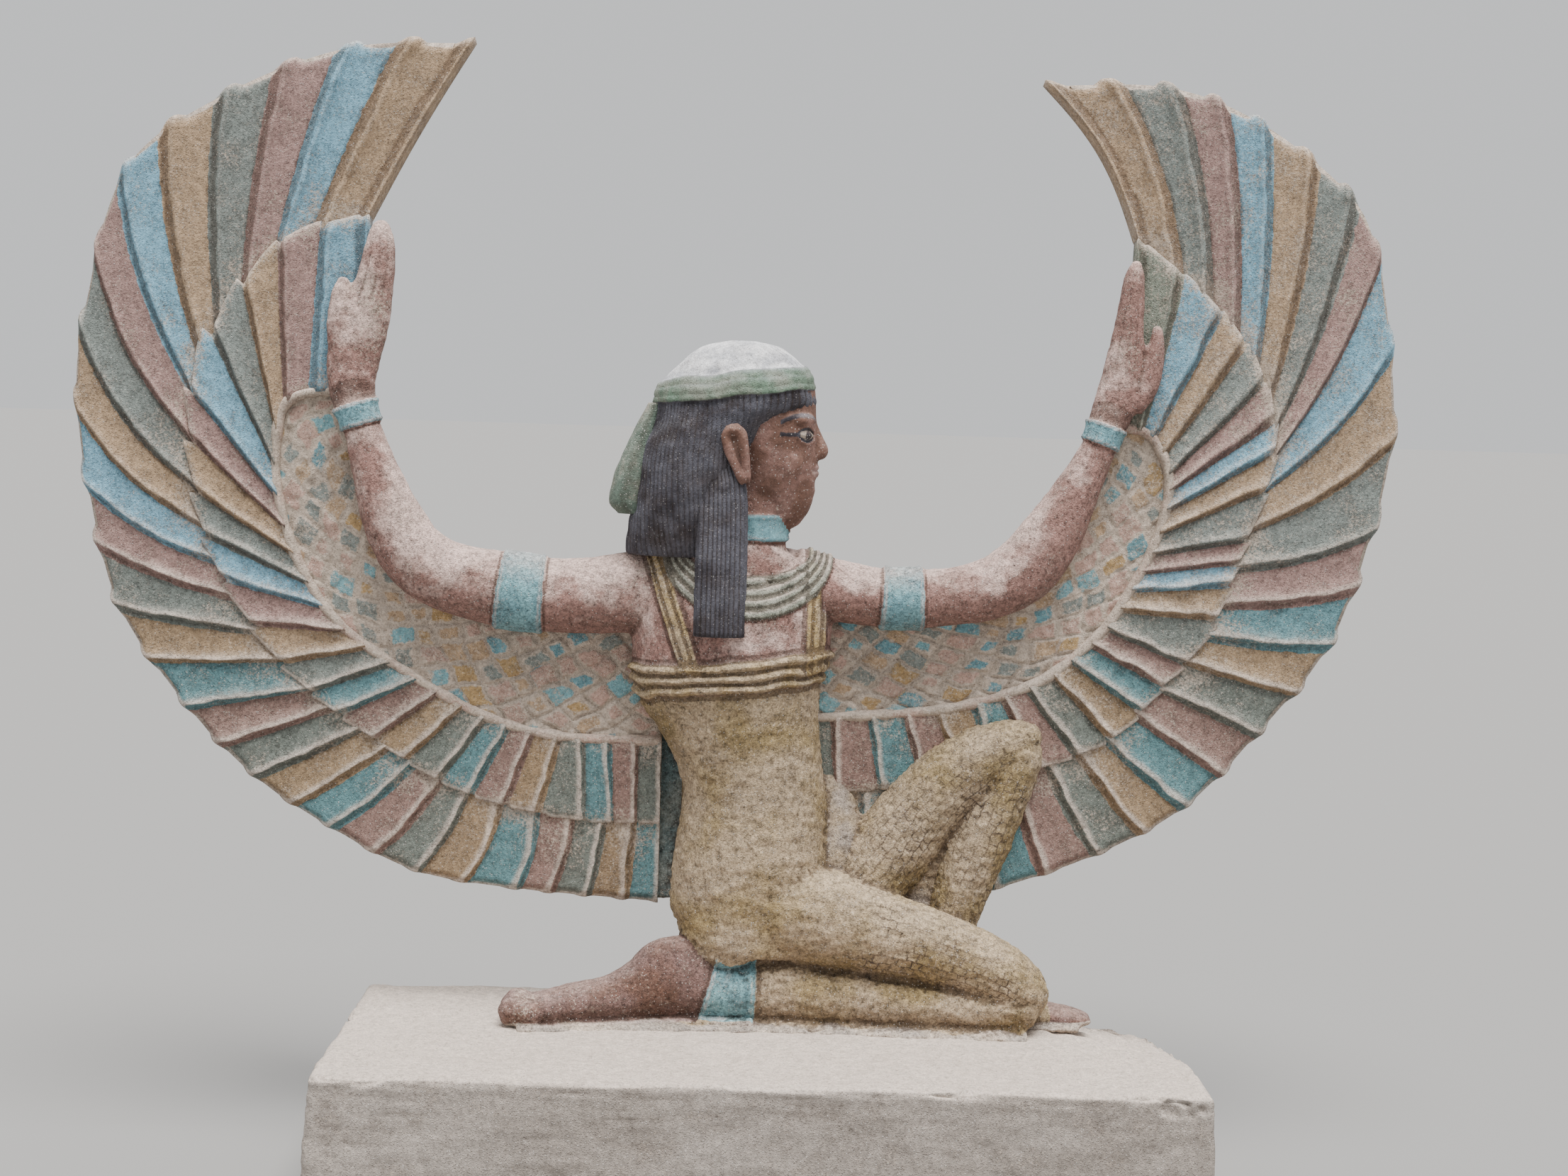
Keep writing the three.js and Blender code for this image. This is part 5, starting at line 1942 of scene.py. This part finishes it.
@dataclass
class Plinth:
    """The low block that the figure kneels on, with battered sides, worn edges and chips."""

    width: float = 158.0
    depth: float = 72.0
    height: float = 26.0
    batter: float = 1.0
    edge: float = 1.7
    shy: float = 0.03
    foot: float = 0.3
    cells: tuple[int, int, int] = (150, 72, 34)
    worn: Rows = ((79, 36, 18), (31, 36, 26), (79, -20, 26))
    chips: Rows = (
        (31.5, -36.0, 25.4, 1.8, 0.8), (35.6, -36.0, 25.6, 2.2, 0.5), (-68.0, -35.0, 26.0, 3.2, 0.45),
        (-61.0, -36.0, 25.6, 1.4, 0.6), (66.0, -36.0, 25.4, 2.6, 0.5), (71.0, -36.0, 24.4, 2.6, 0.8),
        (75.0, -36.0, 23.2, 2.0, 0.8), (-43.0, -33.0, 26.0, 2.0, 0.4), (-34.1, -36.0, 11.3, 3.0, -0.45),
        (-29.0, -36.0, 9.0, 3.4, -0.3), (10.0, 36.0, 25.0, 4.0, 0.7), (-79.0, 8.0, 25.0, 3.4, 0.7),
    )
    seed: int = 120

    def build(self, material: Material) -> Piece:
        """Makes the plinth.

        Args:
            material: its material.

        Returns:
            The plinth.
        """
        cast = Cast("relief", "top")
        bmesh.ops.create_cube(cast.bm, size=1.0)
        for axis, cuts in enumerate(self.cells):
            edges = [e for e in cast.bm.edges if abs(e.verts[0].co[axis] - e.verts[1].co[axis]) > 0.5]
            bmesh.ops.subdivide_edges(cast.bm, edges=edges, cuts=cuts, use_grid_fill=True)
        half = np.array([self.width, self.depth, self.height]) / 2.0

        def where(corners: Array) -> tuple[Array, dict]:
            """The places of these corners of the block, and their marks."""
            t = corners * 2.0
            t = np.sin(t * math.pi / 2.0) * 0.45 + t * 0.55
            spot = t * half
            spot[:, 2] += half[2]
            core = np.clip(spot, [-half[0] + self.edge, -half[1] + self.edge, 0.0],
                           [half[0] - self.edge, half[1] - self.edge, self.height - self.edge])
            away = spot - core
            length = np.maximum(lengths(away), 1e-9)
            outward = away / length[:, None]
            spot = core + outward * np.minimum(length, self.edge)[:, None]
            bottom = spot[:, 2] < self.foot
            top = smooth_step(0.5, 0.9, outward[:, 2])
            striped = spot * [0.12, 0.12, 1.0]
            swell = 0.2 * ripple(spot, 26.0, self.seed) + 0.1 * ripple(spot, 6.0, self.seed + 1)
            fine = 0.1 * ripple(striped, 1.6, self.seed + 2) * (1.0 - top)
            fine = fine + 0.05 * ripple(spot, 2.2, self.seed + 3)
            relief = swell + fine - 0.32
            for x, y, z, radius, depth in self.chips:
                gap = lengths((spot - [x, y, z]) * [0.6, 1.0, 1.0])
                ragged = radius * (0.6 + 0.25 * ripple(spot, 3.0, self.seed + 4))
                relief = relief - depth * (1.0 - smooth_step(ragged - 0.35, ragged + 0.1, gap))
            # painted highlight: a pale band along the rounded top edges
            rim = hump(np.maximum(length - self.edge, 0.0) + np.abs(outward[:, 2] - 0.7) * 2.0, 0.8)
            spot = spot + outward * (relief * ~bottom)[:, None]
            sides = 1.0 - self.batter * spot[:, 2] / self.height / half[1]
            spot[:, 1] *= sides
            spot[:, 0] *= 1.0 - (1.0 - sides) * half[1] / half[0]
            a, b, c = (np.array(point) for point in self.worn)
            normal = np.cross(b - a, c - a)
            normal = normal / np.linalg.norm(normal) * math.copysign(1.0, np.cross(b - a, c - a)[2])
            over = (spot - a) @ normal + 0.35 * ripple(spot, 5.0, self.seed + 5) + 0.4
            spot = spot - normal * np.maximum(over, 0.0)[:, None]
            marks = {"relief": 0.5 * swell + 1.6 * fine + 0.6 * rim * (outward[:, 2] > 0.2), "top": top}
            limit = [half[0] - self.shy, half[1] - self.shy, self.height]
            return np.clip(spot, [-limit[0], -limit[1], 0.0], limit), marks

        cast.place(cast.bm.verts[:], where)
        return publish(cast.mesh("plinth"), "plinth", [material], Matrix.Scale(MM, 4))


@dataclass(frozen=True)
class Studio:
    """The pale floor, the soft lights and the camera, in metres."""

    lens: float = 55.33
    camera_at: tuple[float, float, float] = (-0.0067, -0.4392, 0.1385)
    yaw: float = 1.1
    pitch: float = 3.86
    roll: float = 1.7
    floor_size: float = 60.0
    sky: tuple[float, float, float, float] = (0.97, 0.985, 1.0, 1.0)
    sky_strength: float = 0.78
    sun_strength: float = 6.2
    sun_width: float = 38.0
    sun_from: tuple[float, float, float] = (0.1, -0.3, 1.0)

    def build(self) -> None:
        """Makes the floor, the lights and the camera."""
        scene = bpy.context.scene
        made = bpy.data.meshes.new("floor")
        bm = bmesh.new()
        bmesh.ops.create_grid(bm, x_segments=4, y_segments=4, size=self.floor_size)
        bm.to_mesh(made)
        bm.free()
        floor = bpy.data.objects.new("floor", made)
        scene.collection.objects.link(floor)
        pale = bpy.data.materials.new("floor")
        pale.use_nodes = True
        shader = pale.node_tree.nodes["Principled BSDF"]
        shader.inputs["Base Color"].default_value = Colour.FLOOR.linear()
        shader.inputs["Roughness"].default_value = 0.9
        made.materials.append(pale)

        world = bpy.data.worlds.new("studio")
        world.use_nodes = True
        world.node_tree.nodes["Background"].inputs[0].default_value = self.sky
        world.node_tree.nodes["Background"].inputs[1].default_value = self.sky_strength
        scene.world = world
        data = bpy.data.lights.new("overhead", "SUN")
        data.energy = self.sun_strength
        data.angle = math.radians(self.sun_width)
        data.color = (1.0, 0.98, 0.95)
        lamp = bpy.data.objects.new("overhead", data)
        lamp.rotation_euler = (-Vector(self.sun_from)).to_track_quat("-Z", "Y").to_euler()
        scene.collection.objects.link(lamp)

        yaw, pitch, roll = (math.radians(angle) for angle in (self.yaw, self.pitch, self.roll))
        level = math.cos(pitch)
        forward = Vector((math.sin(yaw) * level, math.cos(yaw) * level, -math.sin(pitch)))
        right = Vector((math.cos(yaw), -math.sin(yaw), 0.0))
        up = right.cross(forward)
        across = math.cos(roll) * right + math.sin(roll) * up
        upward = math.cos(roll) * up - math.sin(roll) * right
        data = bpy.data.cameras.new("camera")
        data.lens = self.lens
        data.sensor_width = 36.0
        data.clip_start = 0.01
        camera = bpy.data.objects.new("camera", data)
        turn = Matrix((across, upward, -forward)).transposed().to_4x4()
        camera.matrix_world = Matrix.Translation(self.camera_at) @ turn
        scene.collection.objects.link(camera)
        scene.camera = camera


UPPER_BLUES = 10


def cycle(colours: Sequence[Colour], count: int, changes: dict[int, Colour]) -> list[Colour]:
    """The paints of a row of feathers, whose lower blues are the choker's.

    Args:
        colours: the paints that come in turn.
        count: how many feathers there are.
        changes: the paints of single feathers, counted from 1.

    Returns:
        The paint of each feather.
    """
    made = [changes.get(n + 1, colours[n % len(colours)]) for n in range(count)]
    for n in range(UPPER_BLUES, count):
        if made[n] is Colour.BLUE:
            made[n] = Colour.CHOKER
    return made


def body_material(painter: Painter) -> Material:
    """Makes the painted skin, dress and jewels of the body.

    Args:
        painter: makes the materials.

    Returns:
        The material.
    """
    finish = Finish(wear=0.1, dusty=0.42, dirty=0.85, contrast=0.9, bump=0.4, dust=Colour.SKIN_LIGHT)

    def colour(kit: Kit, vector: object) -> object:
        """The colour of the paint at this place."""
        # painted light: the skin is paler where it faces up and towards -x, darker underneath and towards +x,
        # with clouds of tone
        clouds = kit.noise(vector, 9.0, 4.0, 0.6)
        across = kit.add("SeparateXYZ", {0: vector}).outputs[0]
        across = kit.math("MAXIMUM", kit.math("MINIMUM", across, 0.05), -0.05)
        side_light = kit.times(across, -1.1)
        lit = kit.plus(kit.times(kit.reading("upward"), 0.26), kit.plus(clouds, side_light))
        skin = kit.mix(kit.step(lit, 0.46, 0.72), Colour.SKIN, Colour.SKIN_LIGHT)
        edge = kit.swing(kit.noise(vector, 1.5, 3.0), 0.45)

        def over(seen: object, mark: str, first: Colour, second: Colour, size: float) -> object:
            """The colour with one more part painted over it."""
            inside = kit.step(kit.plus(kit.reading(mark), edge), -0.15, 0.2)
            drift = kit.step(kit.noise(vector, size, 3.0), 0.4, 0.64)
            return kit.mix(inside, seen, kit.mix(drift, first, second))

        seen = over(skin, "dress", Colour.DRESS, Colour.DRESS_OLIVE, 14.0)
        threads = kit.add("CombineXYZ", {0: kit.reading("column"), 1: kit.reading("row")})
        bend = kit.add("VectorMath", {0: threads.outputs[0], 1: kit.add("TexNoise", {
            "Vector": vector, "Scale": 0.4 / MM, "Detail": 2.0,
        }).outputs["Color"]}, operation="ADD")
        bricks = kit.add("TexBrick", {
            "Vector": bend.outputs[0], "Scale": 1.0, "Mortar Size": 0.12, "Mortar Smooth": 0.8,
            "Brick Width": 1.0, "Row Height": 1.0,
        })
        lines = kit.times(kit.times(bricks.outputs["Fac"], kit.reading("woven")), 0.7)
        seen = kit.mix(lines, seen, Colour.DIRT)
        seen = over(seen, "sole", Colour.FOOT, Colour.SKIN_DEEP, 7.0)
        # the back plate's dark grey-blue, partly painted shade
        seen = over(seen, "plate", Colour.PLATE, Colour.GREY, 9.0)
        seen = over(seen, "web", Colour.STONE, Colour.DRESS, 7.0)
        seen = over(seen, "kerb", Colour.PLINTH, Colour.SAND, 9.0)
        seen = over(seen, "band", Colour.DRESS, Colour.STRAP, 6.0)
        seen = over(seen, "strap", Colour.STRAP, Colour.DRESS, 5.0)
        seen = over(seen, "collar", Colour.COLLAR, Colour.GREEN_GREY, 6.0)
        return over(seen, "jewel", Colour.CHOKER, Colour.TEAL, 5.0)

    return painter.material("painted body", finish, colour)


def main() -> None:
    """Builds the dressed statue."""
    logging.basicConfig(level=logging.INFO, format="%(message)s")
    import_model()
    low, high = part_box(NODE)
    figure = Matrix.Translation(
        ((low.x + high.x) / 2.0, high.y - 16.0 * MM, high.z - WING_TOP * MM)
    ) @ Matrix.Scale(MM, 4)

    painter = Painter()
    feathered = Finish(wear=0.15, dusty=0.5, dirty=0.8, contrast=0.62, sparkle=0.5, bump=0.5)
    bare = Finish(wear=0.5, dusty=0.5, dirty=0.6)
    scales = painter.scales("shoulder scales", Finish(wear=0.3, dusty=0.5, dirty=0.7))
    cord = painter.layered("border cord", (Colour.SAND, Colour.PINK, 7.0), (), bare)
    back = painter.layered("bare back", (Colour.STONE, Colour.SAND, 18.0), (), bare)
    left = Wing("left_wing", LEFT_LINES, seed=10)
    right = Wing("right_wing", RIGHT_LINES, seed=30, dusting=0.15)
    tan, blue, mauve, grey = Colour.TAN, Colour.BLUE, Colour.MAUVE, Colour.GREY
    changed = {1: Colour.GREEN_GREY, 20: mauve, 21: blue, 22: mauve, 23: grey}
    for wing, outer, inner, changes in (
        # the left wing's last inner feather is grey instead of the tan of its turn: darker paint for the
        # shade it lies in by the body
        (left, (tan, blue, mauve, grey), (blue, mauve, tan, grey), {23: grey}),
        (right, (tan, grey, mauve, blue), (mauve, blue, tan, grey), changed),
    ):
        outer_paints = cycle(outer, wing.outer_count, {})
        inner_paints = cycle(inner, wing.inner_count, changes)
        wing.build(figure, [
            painter.feathers(f"{wing.name} outer feathers", outer_paints, feathered),
            painter.feathers(f"{wing.name} inner feathers", inner_paints, feathered),
            scales, cord, back,
        ])

    Body().build(figure, body_material(painter))
    face = painter.layered(
        "painted face", (Colour.SKIN_DEEP, Colour.SKIN, 6.0),
        (
            ("lips", Colour.MAUVE, Colour.SKIN),
            ("choker", Colour.CHOKER, Colour.TEAL), ("white", Colour.SAND, Colour.STONE),
            ("iris", Colour.INK, Colour.INK), ("contour", Colour.INK, Colour.HAIR),
        ),
        Finish(wear=0.05, dusty=0.2, dirty=0.7, dust=Colour.SKIN_LIGHT, bump=0.12),
    )
    hair = painter.layered(
        "painted hair", (Colour.HAIR, Colour.INK, 7.0),
        (("crown", Colour.CAP, Colour.CAP_SHADE), ("headband", Colour.HEADBAND, Colour.GREEN_GREY)),
        Finish(
            wear=-0.1, dusty=0.4, dirty=0.7, sparkle=0.2, bump=0.25, dust=Colour.CAP_SHADE,
            stone=Colour.CAP_SHADE, cloth_dust=Colour.CAP,
        ),
    )
    faded = Finish(wear=0.1, dusty=0.35, dirty=0.7)
    ribbon = painter.layered("ribbon", (Colour.RIBBON, Colour.GREEN_GREY, 6.0), (), faded)
    Head().build(figure, face, hair, ribbon)
    # the strong dust on top faces also paints the plinth's top paler, as painted light
    bare_stone = Finish(wear=0.1, dusty=0.75, dirty=0.35, contrast=0.45)
    block = painter.layered("bare plinth", (Colour.PLINTH, Colour.PLINTH_DARK, 22.0), (), bare_stone)
    Plinth().build(block)
    Studio().build()


if __name__ == "__main__":
    main()
